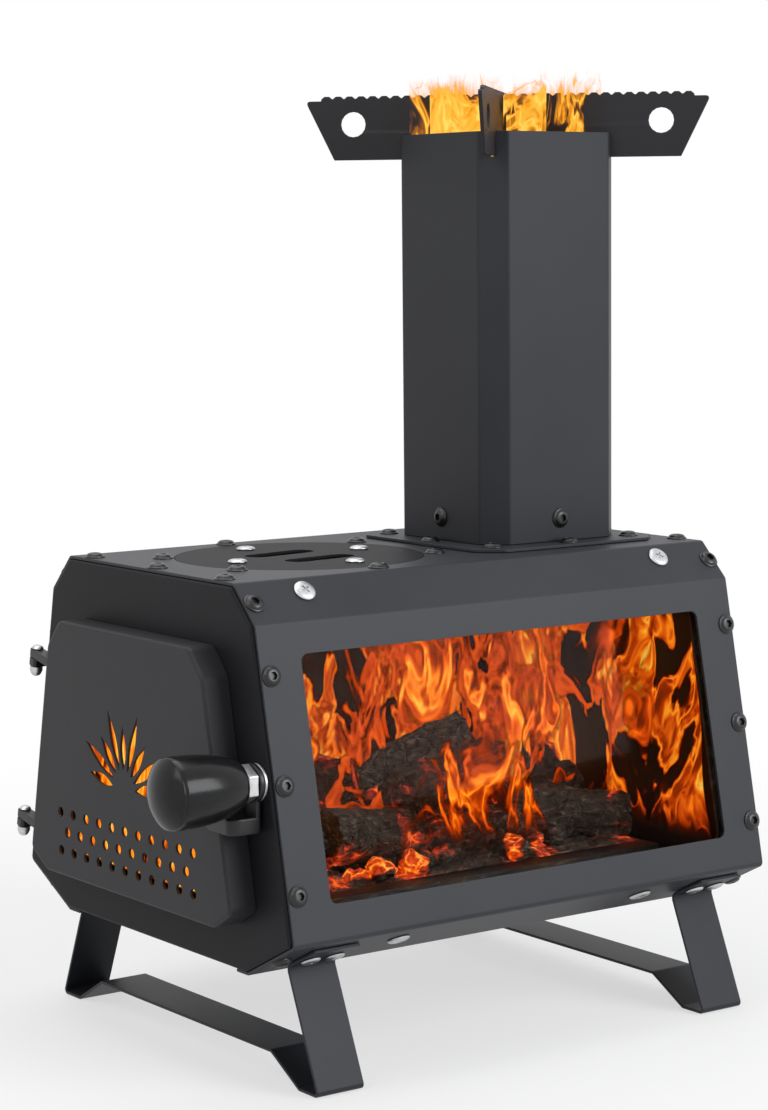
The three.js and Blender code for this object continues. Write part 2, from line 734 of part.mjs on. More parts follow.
function chimneyCollar() {
  const flange = prismZ(chamferedSquare(collarSide, collarChamfer), collarFloor, collarFloor + sheet);
  const upstandTop = collarFloor + collarUpstand;
  const upstand = prismZ(chamferedSquare(flueSide, flueChamfer, sheet + gap), collarFloor, upstandTop);
  const bore = prismZ(collarInside, -sheet, upstandTop + sheet);
  const screws = collarScrewPlaces.map(([x, y]) =>
    moved(blackScrew(collarFloor + sheet / 2, -2 * sheet), new THREE.Matrix4().makeTranslation(x, y, 0)));
  return cut(joined([flange, upstand, ...screws]), [
    bore, ...flueScrewPlaces.map((matrix) => moved(blackHole(), matrix)),
  ]);
}

const rackBase = tubeTop - rackNotchDepth;
const rackTurns = { rack_plate_lower: -Math.PI / 4, rack_plate_upper: Math.PI / 4 };

function chimneyTube() {
  const outer = prismZ(chamferedSquare(flueSide, flueChamfer), tubeBase, tubeTop);
  const bore = prismZ(chamferedSquare(flueSide, flueChamfer, sheet), tubeBase - sheet, tubeTop + sheet);
  const notchHalf = rackSheet / 2 + gap;
  const notch = block(-flueSide, flueSide, -notchHalf, notchHalf, rackBase - gap, tubeTop + sheet);
  const notches = Object.values(rackTurns).map((turn) =>
    moved(notch, new THREE.Matrix4().makeRotationZ(turn)));
  return cut(outer, [bore, ...notches, ...flueScrewPlaces.map((matrix) => moved(blackHole(), matrix))]);
}

/** One rack plate in the (length, height) plane, with scallops along its top. */
function rackShape() {
  const half = rackLength / 2;
  const foot = rackFootLength / 2;
  const landTop = rackHeight - rackStepDown;
  const scallopStart = half - rackLandLength;
  const count = Math.round((2 * scallopStart) / scallopPitch);
  const pitch = (2 * scallopStart) / count;
  const slant = (half - foot) / landTop;
  const shape = new THREE.Shape();
  shape.moveTo(-foot, 0);
  shape.lineTo(foot, 0);
  shape.lineTo(half - rackCornerRadius * slant, landTop - rackCornerRadius);
  shape.quadraticCurveTo(half, landTop, half - rackCornerRadius, landTop);
  shape.lineTo(scallopStart, landTop);
  for (let i = 0; i < count; i += 1) {
    const x = scallopStart - i * pitch;
    const valley = rackHeight - scallopDepth;
    shape.lineTo(x - pitch * 0.04, valley);
    shape.lineTo(x - pitch * 0.3, rackHeight);
    shape.lineTo(x - pitch * 0.7, rackHeight);
    shape.lineTo(x - pitch * 0.96, valley);
  }
  shape.lineTo(-scallopStart, landTop);
  shape.lineTo(-half + rackCornerRadius, landTop);
  shape.quadraticCurveTo(-half, landTop, -half + rackCornerRadius * slant, landTop - rackCornerRadius);
  for (const side of [-1, 1]) {
    const hole = new THREE.Path();
    hole.absarc(side * rackHoleReach, rackHoleHeight, rackHoleRadius, 0, Math.PI * 2);
    shape.holes.push(hole);
  }
  return shape;
}

/** The halving slot keeps the two plates level: one is cut from above, the other from below. */
function rackPlate(fromAbove) {
  const options = { depth: rackSheet, bevelEnabled: false, curveSegments: 8 };
  const geometry = new THREE.ExtrudeGeometry(rackShape(), options);
  const upright = new THREE.Matrix4().makeTranslation(0, rackSheet / 2, 0)
    .multiply(new THREE.Matrix4().makeRotationX(Math.PI / 2));
  const half = rackSheet / 2 + gap;
  const middle = rackHeight / 2;
  const slot = fromAbove
    ? block(-half, half, -rackSheet, rackSheet, middle - gap / 2, rackHeight + sheet)
    : block(-half, half, -rackSheet, rackSheet, -sheet, middle + gap / 2);
  return solid(geometry, upright).subtract(slot);
}

place(flueGroup, "chimney_collar", chimneyCollar(), blackCoat);
place(flueGroup, "chimney_tube", chimneyTube(), blackCoat);
flueScrewPlaces.forEach((matrix, i) => {
  placeAt(flueGroup, `chimney_screw_${i + 1}`, blackScrew(gap, -2 * nestInset), blackCoat, matrix);
});
for (const [name, turn] of Object.entries(rackTurns)) {
  const plate = place(flueGroup, name, rackPlate(name === "rack_plate_lower"), rackCoat);
  plate.position.z = rackBase;
  plate.rotation.z = turn;
}

// ---- Door ---------------------------------------------------------------------------------

const doorRimX = doorFaceX - gap;
const doorOutX = doorFaceX - doorDepth;

/** Slots of two lengths that fan out from a point low in the middle of the door. */
function fanTools() {
  return Array.from({ length: fanRays }, (_, i) => {
    const angle = THREE.MathUtils.degToRad(-fanSweep / 2 + (fanSweep * i) / (fanRays - 1));
    const length = rayLengths[i % rayLengths.length];
    const outer = rayInnerRadius + length;
    const shape = new THREE.Shape();
    shape.moveTo(0, rayInnerRadius);
    shape.quadraticCurveTo(rayWidth, rayInnerRadius + length * 0.6, 0, outer);
    shape.quadraticCurveTo(-rayWidth, rayInnerRadius + length * 0.6, 0, rayInnerRadius);
    const tool = prismX(shape, doorOutX - sheet, doorOutX + 3 * sheet);
    const turnedRay = new THREE.Matrix4().makeTranslation(0, 0, fanCentreHeight)
      .multiply(new THREE.Matrix4().makeRotationX(angle));
    return moved(tool, turnedRay);
  });
}

function ventTools() {
  const lyingRod = rod(ventRadius, -3 * sheet, 3 * sheet, 8);
  return ventCounts.flatMap((count, row) => Array.from({ length: count }, (_, i) => {
    const y = (i - (count - 1) / 2) * ventPitch;
    const centre = new THREE.Matrix4().makeTranslation(doorOutX, y, ventTopRow - row * ventRowPitch);
    return moved(lyingRod, centre.multiply(outOfFace));
  }));
}

function doorPan() {
  const full = prismX(new THREE.Shape(doorOutline), doorOutX, doorRimX);
  const insideOutline = new THREE.Shape(offsetPath(doorOutline, sheet, true));
  const hollow = prismX(insideOutline, doorOutX + sheet, doorRimX + sheet);
  return cut(full, [hollow, ...fanTools(), ...ventTools()]);
}

place(stove, "door_pan", doorPan(), blackCoat);

// ---- Hinges: each turns on a pin that leans with the back wall ------------------------------

const hingeHeights = { upper: upperHingeHeight, lower: lowerHingeHeight };
const stackHalf = lugThickness + gap / 2;

/** A lug whose eye is on the pin; its arm runs to `reach` along local +X (toX) or -Y. */
function lug(z0, reach, alongBody) {
  const eye = rod(lugRadius, z0, z0 + lugThickness, 14);
  const arm = alongBody
    ? block(0, reach, -lugRadius, lugRadius, z0, z0 + lugThickness)
    : block(-lugRadius, lugRadius, -reach, 0, z0, z0 + lugThickness);
  return joined([eye, arm]).subtract(rod(pinRadius + gap, z0 - 1, z0 + lugThickness + 1));
}

/** A pin with a domed head above the lugs and a closed nut below them, in one piece. */
function hingePin() {
  const top = stackHalf + gap;
  const bottom = -stackHalf - gap;
  return turned([
    [0, bottom - pinNutHeight], [pinNutRadius * 0.55, bottom - pinNutHeight * 0.92],
    [pinNutRadius * 0.9, bottom - pinNutHeight * 0.6], [pinNutRadius, bottom - pinNutHeight * 0.45],
    [pinNutRadius, bottom], [pinRadius, bottom], [pinRadius, top], [pinHeadRadius, top],
    [pinHeadRadius * 0.75, top + pinHeadHeight * 0.8], [0, top + pinHeadHeight],
  ], 12);
}

for (const [level, height] of Object.entries(hingeHeights)) {
  const hinge = new THREE.Group();
  const hingeY = halfWidthAt(height) - hingeEdgeInset;
  hinge.position.set(doorFaceX - hingeReach, hingeY, height);
  hinge.rotation.x = wallTilt;
  stove.add(hinge);
  const toDoor = (hingeY - doorSideAt(height)) * Math.cos(wallTilt) - gap;
  place(hinge, `door_lug_${level}`, lug(gap / 2, toDoor, false), blackCoat);
  place(hinge, `body_lug_${level}`, lug(-stackHalf, hingeReach - gap, true), blackCoat);
  place(hinge, `hinge_pin_${level}`, hingePin(), brightSteel);
}

// ---- Latch: everything turns with the knob about the bolt ----------------------------------

const latch = new THREE.Group();
latch.position.set(doorFaceX, boltY, latchHeight);
latch.rotation.y = -Math.PI / 2;
stove.add(latch);

// In this group local Z runs out of the door end, local X up and local Y towards the back.
const washerZ = gap;
const armZ = washerZ + washerThickness + gap;
const nutZ = armZ + armThickness + gap;
const knobZ = nutZ + nutThickness + gap;
const hookOut = doorDepth + gap + hookThickness;
const hookBottom = -armDrop - hookHeight;
const hookInnerY = -doorSideAt(latchHeight + hookBottom) - boltY - 2 * gap;

function latchBolt() {
  const inside = -sheet - gap;
  return joined([
    rod(boltRadius, inside - 0.5, knobZ + boltInKnob, 16),
    rod(boltHeadRadius, inside - boltHeadHeight, inside, 6),
  ]);
}

/** The hook: a strip that runs out past the door's front edge and bends back over its face. */
function latchHook() {
  const outerY = -armWidth / 2;
  const bendY = outerY + hookBend;
  const tipY = hookInnerY + hookFinger;
  const strip = new THREE.Shape();
  strip.moveTo(outerY, armZ);
  strip.lineTo(outerY, hookOut - hookBend);
  strip.absarc(bendY, hookOut - hookBend, hookBend, Math.PI, Math.PI / 2, true);
  strip.lineTo(tipY, hookOut);
  strip.lineTo(tipY, hookOut - hookThickness);
  strip.lineTo(bendY, hookOut - hookThickness);
  strip.absarc(bendY, hookOut - hookBend, hookBend - hookThickness, Math.PI / 2, Math.PI, false);
  strip.lineTo(outerY + hookThickness, armZ);
  const tipRadius = hookHeight / 2;
  const tipX = hookBottom + tipRadius;
  const rounded = joined([
    block(hookBottom, -armDrop, outerY, tipY - tipRadius, armZ, hookOut),
    moved(rod(tipRadius, armZ, hookOut, 20), new THREE.Matrix4().makeTranslation(tipX, tipY - tipRadius, 0)),
  ]);
  return prismX(strip, hookBottom, -armDrop).intersect(rounded);
}

/** Hub, dropped arm and the hook at its end. */
function latchArm() {
  const hub = rod(armHubRadius, armZ, armZ + armThickness, 20);
  const arm = block(hookBottom, 0, -armWidth / 2, armWidth / 2, armZ, armZ + armThickness);
  return joined([hub, arm, latchHook()]).subtract(rod(boltRadius + gap, 0, nutZ, 16));
}

function latchNut() {
  const cornerRadius = nutAcrossFlats / 2 / Math.cos(Math.PI / 6);
  return rod(cornerRadius, nutZ, nutZ + nutThickness, 6).subtract(rod(boltRadius + gap, 0, knobZ + 1, 16));
}

function knob() {
  const tip = knobZ + knobLength;
  const rim = tip - knobCrown;
  const swell = (share, height) => [knobNeckRadius + (knobRadius - knobNeckRadius) * share, height];
  const body = turned([
    [0, knobZ], [knobNeckRadius, knobZ], swell(0.16, knobZ + knobLength * 0.03),
    swell(0.52, knobZ + knobLength * 0.2), swell(0.78, knobZ + knobLength * 0.4),
    swell(0.95, knobZ + knobLength * 0.62), swell(1, rim - knobLength * 0.06), swell(0.96, rim),
    [knobRadius * 0.8, rim + knobCrown * 0.42], [knobRadius * 0.45, rim + knobCrown * 0.84], [0, tip],
  ], 28);
  return body.subtract(rod(boltRadius + gap, knobZ - 1, knobZ + boltInKnob + gap, 16));
}

place(latch, "latch_bolt", latchBolt(), brightSteel);
const washer = ring(boltRadius + gap, washerRadius, washerZ, washerZ + washerThickness, 24);
place(latch, "latch_washer", washer, brightSteel);
place(latch, "latch_arm", latchArm(), blackCoat);
place(latch, "latch_nut", latchNut(), brightSteel);
place(latch, "knob", knob(), glossBlack);

// The origin is on the ground, under the middle of the stove's overall length.
stove.updateMatrixWorld(true);
const reach = new THREE.Box3().setFromObject(stove, true);
stove.position.x = -(reach.min.x + reach.max.x) / 2;
stove.updateMatrixWorld(true);

export default stove;
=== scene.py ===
"""Looks of the tent wood stove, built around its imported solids.

Sizes are in millimetres, measured in the firebox's own frame: X from its middle towards the flue,
Y towards the back and Z up from the ground. Each piece is brought to metres, and to the frame's
origin, when it leaves the bench.
"""

import logging
import math
import random
from dataclasses import dataclass, field
from enum import Enum
from typing import Iterable, Sequence

import bmesh
import bpy
from mathutils import Matrix, Vector, noise


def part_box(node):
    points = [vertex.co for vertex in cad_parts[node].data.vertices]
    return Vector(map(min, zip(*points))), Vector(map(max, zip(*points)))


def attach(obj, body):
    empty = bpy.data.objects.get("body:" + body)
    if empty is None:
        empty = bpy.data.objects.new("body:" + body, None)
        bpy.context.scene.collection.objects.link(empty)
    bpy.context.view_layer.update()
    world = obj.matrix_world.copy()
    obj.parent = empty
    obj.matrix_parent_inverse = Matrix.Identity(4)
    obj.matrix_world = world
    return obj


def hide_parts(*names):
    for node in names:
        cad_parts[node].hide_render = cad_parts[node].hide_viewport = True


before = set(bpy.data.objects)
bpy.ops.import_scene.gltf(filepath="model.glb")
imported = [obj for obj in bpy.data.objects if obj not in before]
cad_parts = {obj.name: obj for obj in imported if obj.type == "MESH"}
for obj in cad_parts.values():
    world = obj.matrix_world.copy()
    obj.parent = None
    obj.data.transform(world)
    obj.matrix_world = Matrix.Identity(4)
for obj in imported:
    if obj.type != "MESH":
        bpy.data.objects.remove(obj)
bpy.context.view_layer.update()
LOG = logging.getLogger("stove")

MM = 0.001
SHELL_LOW, SHELL_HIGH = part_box("outer_shell")
TO_FRAME = Matrix.Translation(((SHELL_LOW.x + SHELL_HIGH.x) / 2, 0, 0)) @ Matrix.Scale(MM, 4)

SHEET = 1.5
GAP = 0.3
BODY_LENGTH = 300.0
DOOR_END = -BODY_LENGTH / 2
BODY_TOP = 243.5
LID_X = -58.0
FLUE_X = 78.0
SEATED = 0.02
SHARP_BEND = math.radians(50)
ROUND = 96
WHITE = (1, 1, 1, 1)


class Body(Enum):
    """The rigid bodies that a piece may ride on."""

    FIREBOX = "firebox"
    DOOR = "door"
    LATCH = "latch"
    LID = "lid"
    GRATE = "grate"


# ---- Shader graphs ------------------------------------------------------------------------


class Value:
    """A number socket that takes part in sums as a Python number does."""

    def __init__(self, graph: "Graph", socket: bpy.types.NodeSocket) -> None:
        """Keep the graph that new Math nodes go into and the socket itself."""
        self.graph = graph
        self.socket = socket

    def _sum(self, operation: str, first: object, second: object) -> "Value":
        """Add one Math node.

        Args:
            operation: the Math node's operation.
            first: its first number or socket.
            second: its second number or socket.

        Returns:
            The node's result.
        """
        made = self.graph.node("ShaderNodeMath", {"operation": operation}, {0: first, 1: second})
        return Value(self.graph, made.outputs[0])

    def __add__(self, other: object) -> "Value":
        """Add."""
        return self._sum("ADD", self, other)

    def __sub__(self, other: object) -> "Value":
        """Subtract."""
        return self._sum("SUBTRACT", self, other)

    def __rsub__(self, other: object) -> "Value":
        """Subtract from a number."""
        return self._sum("SUBTRACT", other, self)

    def __mul__(self, other: object) -> "Value":
        """Multiply."""
        return self._sum("MULTIPLY", self, other)

    def __pow__(self, other: object) -> "Value":
        """Raise to a power."""
        return self._sum("POWER", self, other)

    __radd__ = __add__
    __rmul__ = __mul__


class Graph:
    """The nodes of one material or world, with the shader that it starts with and its output."""

    def __init__(self, owner: bpy.types.Material | bpy.types.World) -> None:
        """Switch the nodes on.

        Args:
            owner: the new material or world.
        """
        owner.use_nodes = True
        self.owner = owner
        self.tree = owner.node_tree
        self.output = next(n for n in self.tree.nodes if n.bl_idname.startswith("ShaderNodeOutput"))
        self.surface = self.output.inputs["Surface"].links[0].from_node

    def node(self, kind: str, settings: dict | None = None, inputs: dict | None = None) -> bpy.types.Node:
        """Add a node.

        Args:
            kind: the node's type.
            settings: its own settings; "stops" gives a ramp's places and colours.
            inputs: values or links of its sockets, by name or number.

        Returns:
            The new node.
        """
        made = self.tree.nodes.new(kind)
        for key, value in (settings or {}).items():
            if key != "stops":
                setattr(made, key, value)
                continue
            ramp = made.color_ramp
            while len(ramp.elements) < len(value):
                ramp.elements.new(0.5)
            for element, (place, colour) in zip(ramp.elements, value):
                element.position = place
                element.color = (*colour, 1)
        self.feed(made, inputs or {})
        return made

    def feed(self, target: bpy.types.Node, inputs: dict) -> None:
        """Link or set a node's sockets.

        Args:
            target: the node that is fed.
            inputs: values or links, by socket name or number.
        """
        for key, value in inputs.items():
            socket = target.inputs[key]
            if isinstance(value, Value):
                self.tree.links.new(value.socket, socket)
            elif isinstance(value, bpy.types.NodeSocket):
                self.tree.links.new(value, socket)
            else:
                socket.default_value = value

    def place(self, stretch: Sequence[float] = (1, 1, 1)) -> bpy.types.NodeSocket:
        """Object coordinates in metres, stretched.

        Args:
            stretch: factor along each axis.

        Returns:
            The vector socket.
        """
        where = self.node("ShaderNodeTexCoord").outputs["Object"]
        return self.node("ShaderNodeMapping", None, {"Vector": where, "Scale": tuple(stretch)}).outputs[0]

    def vector(self, operation: str, first: object, second: object) -> bpy.types.NodeSocket:
        """Combine two vectors, or scale one.

        Args:
            operation: the Vector Math node's operation.
            first: the first vector.
            second: the second vector, or the factor of SCALE.

        Returns:
            The vector socket.
        """
        other = "Scale" if operation == "SCALE" else 1
        made = self.node("ShaderNodeVectorMath", {"operation": operation}, {0: first, other: second})
        return made.outputs[0]

    def either(self, first: object, second: object) -> Value:
        """The larger of two values."""
        made = self.node("ShaderNodeMath", {"operation": "MAXIMUM"}, {0: first, 1: second})
        return Value(self, made.outputs[0])

    def absolute(self, value: Value) -> Value:
        """A value without its sign."""
        return Value(self, self.node("ShaderNodeMath", {"operation": "ABSOLUTE"}, {0: value}).outputs[0])

    def noise(self, where: object, scale: float, detail: float = 3, distortion: float = 0) -> Value:
        """Fractal noise between 0 and 1.

        Args:
            where: coordinates.
            scale: how often it repeats in a metre.
            detail: octaves.
            distortion: how far it is warped.

        Returns:
            The noise.
        """
        inputs = {"Vector": where, "Scale": scale, "Detail": detail, "Distortion": distortion}
        return Value(self, self.node("ShaderNodeTexNoise", None, inputs).outputs[0])

    def ramp(self, factor: object, stops: Sequence[tuple]) -> bpy.types.NodeSocket:
        """Colours along a factor.

        Args:
            factor: the value that picks the colour.
            stops: (place, colour) pairs.

        Returns:
            The colour socket.
        """
        return self.node("ShaderNodeValToRGB", {"stops": stops}, {0: factor}).outputs[0]

    def blend(self, factor: object, first: object, second: Sequence[float]) -> bpy.types.NodeSocket:
        """Lay one colour over another.

        Args:
            factor: how much of the second one shows.
            first: the colour underneath.
            second: the colour on top.

        Returns:
            The colour socket.
        """
        inputs = {0: factor, 6: first, 7: (*second, 1)}
        return self.node("ShaderNodeMix", {"data_type": "RGBA"}, inputs).outputs[2]

    def between(self, factor: object, low: float, high: float) -> Value:
        """Bring a value from low..high to 0..1, smoothly and clamped.

        Args:
            factor: the value.
            low: what becomes 0.
            high: what becomes 1.

        Returns:
            The value from 0 to 1.
        """
        settings = {"interpolation_type": "SMOOTHSTEP"}
        inputs = {"Value": factor, "From Min": low, "From Max": high}
        return Value(self, self.node("ShaderNodeMapRange", settings, inputs).outputs[0])

    def bump(self, height: object, distance: float, strength: float) -> bpy.types.NodeSocket:
        """A normal from a height.

        Args:
            height: the height, about 0 to 1.
            distance: what a height of 1 stands for, in metres.
            strength: share of the effect.

        Returns:
            The normal socket.
        """
        inputs = {"Height": height, "Distance": distance, "Strength": strength}
        return self.node("ShaderNodeBump", None, inputs).outputs[0]


# ---- Finishes -----------------------------------------------------------------------------


@dataclass(frozen=True)
class Finish:
    """A finish: the name of its material, the slot that it belongs to and what feeds its shader."""

    name: str
    slot: str

    def material(self) -> bpy.types.Material:
        """Make the material.

        Returns:
            The material.
        """
        graph = Graph(bpy.data.materials.new(self.name))
        graph.feed(graph.surface, self.sockets(graph))
        return graph.owner

    def sockets(self, graph: Graph) -> dict:
        """What feeds the shader's sockets; every finish has its own."""
        raise NotImplementedError


def shaded(colour: Sequence[float], *factors: float) -> tuple[float, ...]:
    """A colour with every channel scaled, by one factor or by one each."""
    return tuple(channel * factor for channel, factor in zip(colour, factors * (3 // len(factors))))


@dataclass(frozen=True)
class HeatCoat(Finish):
    """Matt heat-proof powder coat: fine grain, faint cloudiness and rubbed spots."""

    colour: tuple[float, float, float] = (0.024, 0.0255, 0.030)
    roughness: float = 0.5
    grain: float = 2400.0
    sheen: float = 0.3

    def sockets(self, graph: Graph) -> dict:
        """Lay the nodes that feed the shader.

        Args:
            graph: where they go.

        Returns:
            What feeds each of its sockets.
        """
        where = graph.place()
        cloud = graph.noise(where, 14, 4)
        grain = graph.noise(where, self.grain, 2)
        rubbed = graph.between(graph.noise(where, 90, 6, 0.6), 0.66, 0.8)
        base = graph.ramp(cloud, [(0.3, shaded(self.colour, 0.86)), (0.7, shaded(self.colour, 1.16))])
        return {
            "Base Color": graph.blend(rubbed * 0.25, base, shaded(self.colour, 1.5)),
            "Roughness": cloud * 0.08 + grain * 0.06 + (self.roughness - 0.07) - rubbed * 0.05,
            "Specular IOR Level": self.sheen,
            "Normal": graph.bump(grain, 0.00006, 0.5),
        }


@dataclass(frozen=True)
class BrightSteel(Finish):
    """Bright turned or plated steel with faint marks from the tool."""

    colour: tuple[float, float, float] = (0.6, 0.6, 0.61)
    roughness: float = 0.4

    def sockets(self, graph: Graph) -> dict:
        """Lay the nodes that feed the shader.

        Args:
            graph: where they go.

        Returns:
            What feeds each of its sockets.
        """
        marks = graph.noise(graph.place((1, 1, 9)), 900, 3, 0.4)
        stain = graph.noise(graph.place(), 220, 3)
        return {
            "Base Color": graph.ramp(stain, [(0.35, shaded(self.colour, 0.8)), (0.6, self.colour)]),
            "Metallic": 1.0,
            "Roughness": marks * 0.14 + (self.roughness - 0.07),
            "Normal": graph.bump(marks, 0.00003, 0.4),
        }


@dataclass(frozen=True)
class FiredSteel(Finish):
    """Bare steel inside the firebox: heat colours under a dusting of soot and ash."""

    colour: tuple[float, float, float] = (0.05, 0.045, 0.042)
    ash: tuple[float, float, float] = (0.13, 0.125, 0.12)

    def sockets(self, graph: Graph) -> dict:
        """Lay the nodes that feed the shader.

        Args:
            graph: where they go.

        Returns:
            What feeds each of its sockets.
        """
        where = graph.place()
        heat = graph.noise(where, 22, 5, 0.5)
        soot = graph.noise(where, 160, 5)
        ash = graph.between(soot, 0.56, 0.74)
        blue, straw = shaded(self.colour, 0.75, 0.85, 1.15), shaded(self.colour, 1.6, 1.2, 0.8)
        base = graph.ramp(heat, [(0.3, blue), (0.5, self.colour), (0.7, straw)])
        return {
            "Base Color": graph.blend(ash * 0.4, base, self.ash),
            "Metallic": 0.7 - ash * 0.6,
            "Roughness": soot * 0.3 + 0.42,
            "Normal": graph.bump(soot, 0.00015, 0.5),
        }


@dataclass(frozen=True)
class GlossKnob(Finish):
    """Moulded glossy black plastic, faintly orange-peeled."""

    def sockets(self, graph: Graph) -> dict:
        """Lay the nodes that feed the shader.

        Args:
            graph: where they go.

        Returns:
            What feeds each of its sockets.
        """
        peel = graph.noise(graph.place(), 90, 1)
        smear = graph.noise(graph.place((1, 3, 3)), 60, 4, 0.5)
        return {
            "Base Color": graph.ramp(smear, [(0.3, (0.006, 0.006, 0.0065)), (0.7, (0.011, 0.011, 0.012))]),
            "Roughness": smear * 0.1 + 0.15,
            "Specular IOR Level": 0.25,
            "Normal": graph.bump(peel, 0.00008, 0.3),
        }


@dataclass(frozen=True)
class StoveGlass(Finish):
    """Clear glass ceramic with uneven traces of smoke."""

    def sockets(self, graph: Graph) -> dict:
        """Lay the nodes that feed the shader.

        Args:
            graph: where they go.

        Returns:
            What feeds each of its sockets.
        """
        smoke = graph.noise(graph.place((1, 1, 1.4)), 16, 5, 0.6)
        return {
            "Base Color": graph.ramp(smoke, [(0.35, (1.0, 0.97, 0.93)), (0.8, (0.8, 0.74, 0.68))]),
            "Roughness": graph.between(smoke, 0.5, 0.9) * 0.05 + 0.01,
            "Transmission Weight": 1.0,
            "IOR": 1.06,
        }


@dataclass(frozen=True)
class FibreRope(Finish):
    """Flattened woven fibre rope."""

    def sockets(self, graph: Graph) -> dict:
        """Lay the nodes that feed the shader.

        Args:
            graph: where they go.

        Returns:
            What feeds each of its sockets.
        """
        weave = graph.node("ShaderNodeTexWave", {"bands_direction": "DIAGONAL"},
                           {"Vector": graph.place(), "Scale": 380, "Distortion": 1.5})
        threads = Value(graph, weave.outputs["Fac"])
        return {
            "Base Color": graph.ramp(threads, [(0.2, (0.018, 0.017, 0.016)), (0.8, (0.06, 0.057, 0.052))]),
            "Roughness": threads * 0.08 + 0.88,
            "Normal": graph.bump(threads, 0.0003, 0.7),
        }


@dataclass(frozen=True)
class CharredWood(Finish):
    """Burnt logs: cracked black char with glowing seams."""

    glow: float = 1.0
    cold: float = 0.53

    def sockets(self, graph: Graph) -> dict:
        """Lay the nodes that feed the shader.

        Args:
            graph: where they go.

        Returns:
            What feeds each of its sockets.
        """
        where = graph.place((1, 1.6, 1.6))
        bent = graph.node("ShaderNodeTexNoise", None, {"Vector": where, "Scale": 60, "Detail": 4})
        bowed = graph.vector("ADD", where, graph.vector("SCALE", bent.outputs["Color"], 0.018))
        blocks = graph.node("ShaderNodeTexVoronoi", {"feature": "DISTANCE_TO_EDGE"},
                            {"Vector": bowed, "Scale": 85})
        seam = 1 - graph.between(Value(graph, blocks.outputs["Distance"]), 0.0, 0.1)
        patch = graph.between(graph.noise(where, 26, 5, 0.6), self.cold, self.cold + 0.14)
        fine = graph.noise(where, 240, 5)
        hot = (seam * 0.6 + 0.4) * patch * (fine * 1.3 - 0.1) * self.glow
        return {
            "Base Color": graph.ramp(fine, [(0.35, (0.008, 0.006, 0.004)), (0.58, (0.04, 0.026, 0.018)),
                                            (0.72, (0.13, 0.1, 0.08))]),
            "Roughness": fine * 0.2 + 0.7,
            "Normal": graph.bump(fine * 1.6 - seam, 0.0018, 0.9),
            "Emission Color": graph.ramp(hot, [(0.04, (0, 0, 0)), (0.2, (0.2, 0.008, 0.001)),
                                               (0.4, (0.75, 0.06, 0.003)), (0.7, (1.0, 0.24, 0.012)),
                                               (1.0, (1.0, 0.55, 0.08))]),
            "Emission Strength": 1.1,
        }


@dataclass(frozen=True)
class Flame(Finish):
    """Flames on a thin sheet: folded tongues with clear gaps, ragged at their tips."""

    seed: float = 0.0
    foot: float = 0.09
    tip: float = 0.24
    cover: float = 0.42
    strength: float = 1.1
    lift: float = 0.0
    fold: float = 0.055

    def sockets(self, graph: Graph) -> dict:
        """Lay the nodes that feed the shader.

        Args:
            graph: where they go.

        Returns:
            What feeds each of its sockets.
        """
        seeded = graph.vector("ADD", graph.place((1, 1, 0.55)), (self.seed, self.seed * 0.7, self.seed * 0.3))
        slow = graph.node("ShaderNodeTexNoise", None, {"Vector": seeded, "Scale": 17, "Detail": 2})
        swayed = graph.vector("ADD", seeded, graph.vector("SCALE", slow.outputs["Color"], 0.11))
        quick = graph.node("ShaderNodeTexNoise", None, {"Vector": swayed, "Scale": 55, "Detail": 3})
        licked = graph.vector("ADD", swayed, graph.vector("SCALE", quick.outputs["Color"], 0.022))
        tongues = graph.noise(licked, 26, 3)
        threads = graph.noise(licked, 90, 5, 0.3)
        height = Value(graph, graph.node("ShaderNodeSeparateXYZ", None, {0: graph.place()}).outputs["Z"])
        ragged = height + (threads - 0.5) * 0.03
        low = graph.between(height, self.foot - 0.012, self.foot + 0.02)
        high = 1 - graph.between(ragged, self.tip - 0.03, self.tip)
        mask = graph.between(tongues, self.cover, self.cover + 0.07) * low * high
        core = graph.between(tongues, self.cover + 0.06, self.cover + 0.24)
        folded = graph.node("ShaderNodeMath", {"operation": "PINGPONG"}, {0: tongues, 1: self.fold})
        folds = (Value(graph, folded.outputs[0]) * (1 / self.fold)) ** 3
        ridge = (1 - graph.absolute(threads * 2 - 1)) ** 6
        heat = mask * (folds * 0.42 + ridge * 0.22 + core * 0.2 + 0.14)
        return {
            "Base Color": (0, 0, 0, 1),
            "Specular IOR Level": 0.0,
            "Roughness": 1.0,
            "Alpha": graph.between(heat, self.lift * 0.1, 0.3 + self.lift * 0.3),
            "Emission Color": graph.ramp(heat * (1 - self.lift) + self.lift, [
                (0.0, (0.02, 0.001, 0.0)), (0.16, (0.1, 0.006, 0.0)), (0.32, (0.5, 0.045, 0.001)),
                (0.5, (0.95, 0.17, 0.004)), (0.68, (1.0, 0.36, 0.014)), (0.9, (1.0, 0.66, 0.12))]),
            "Emission Strength": self.strength,
        }


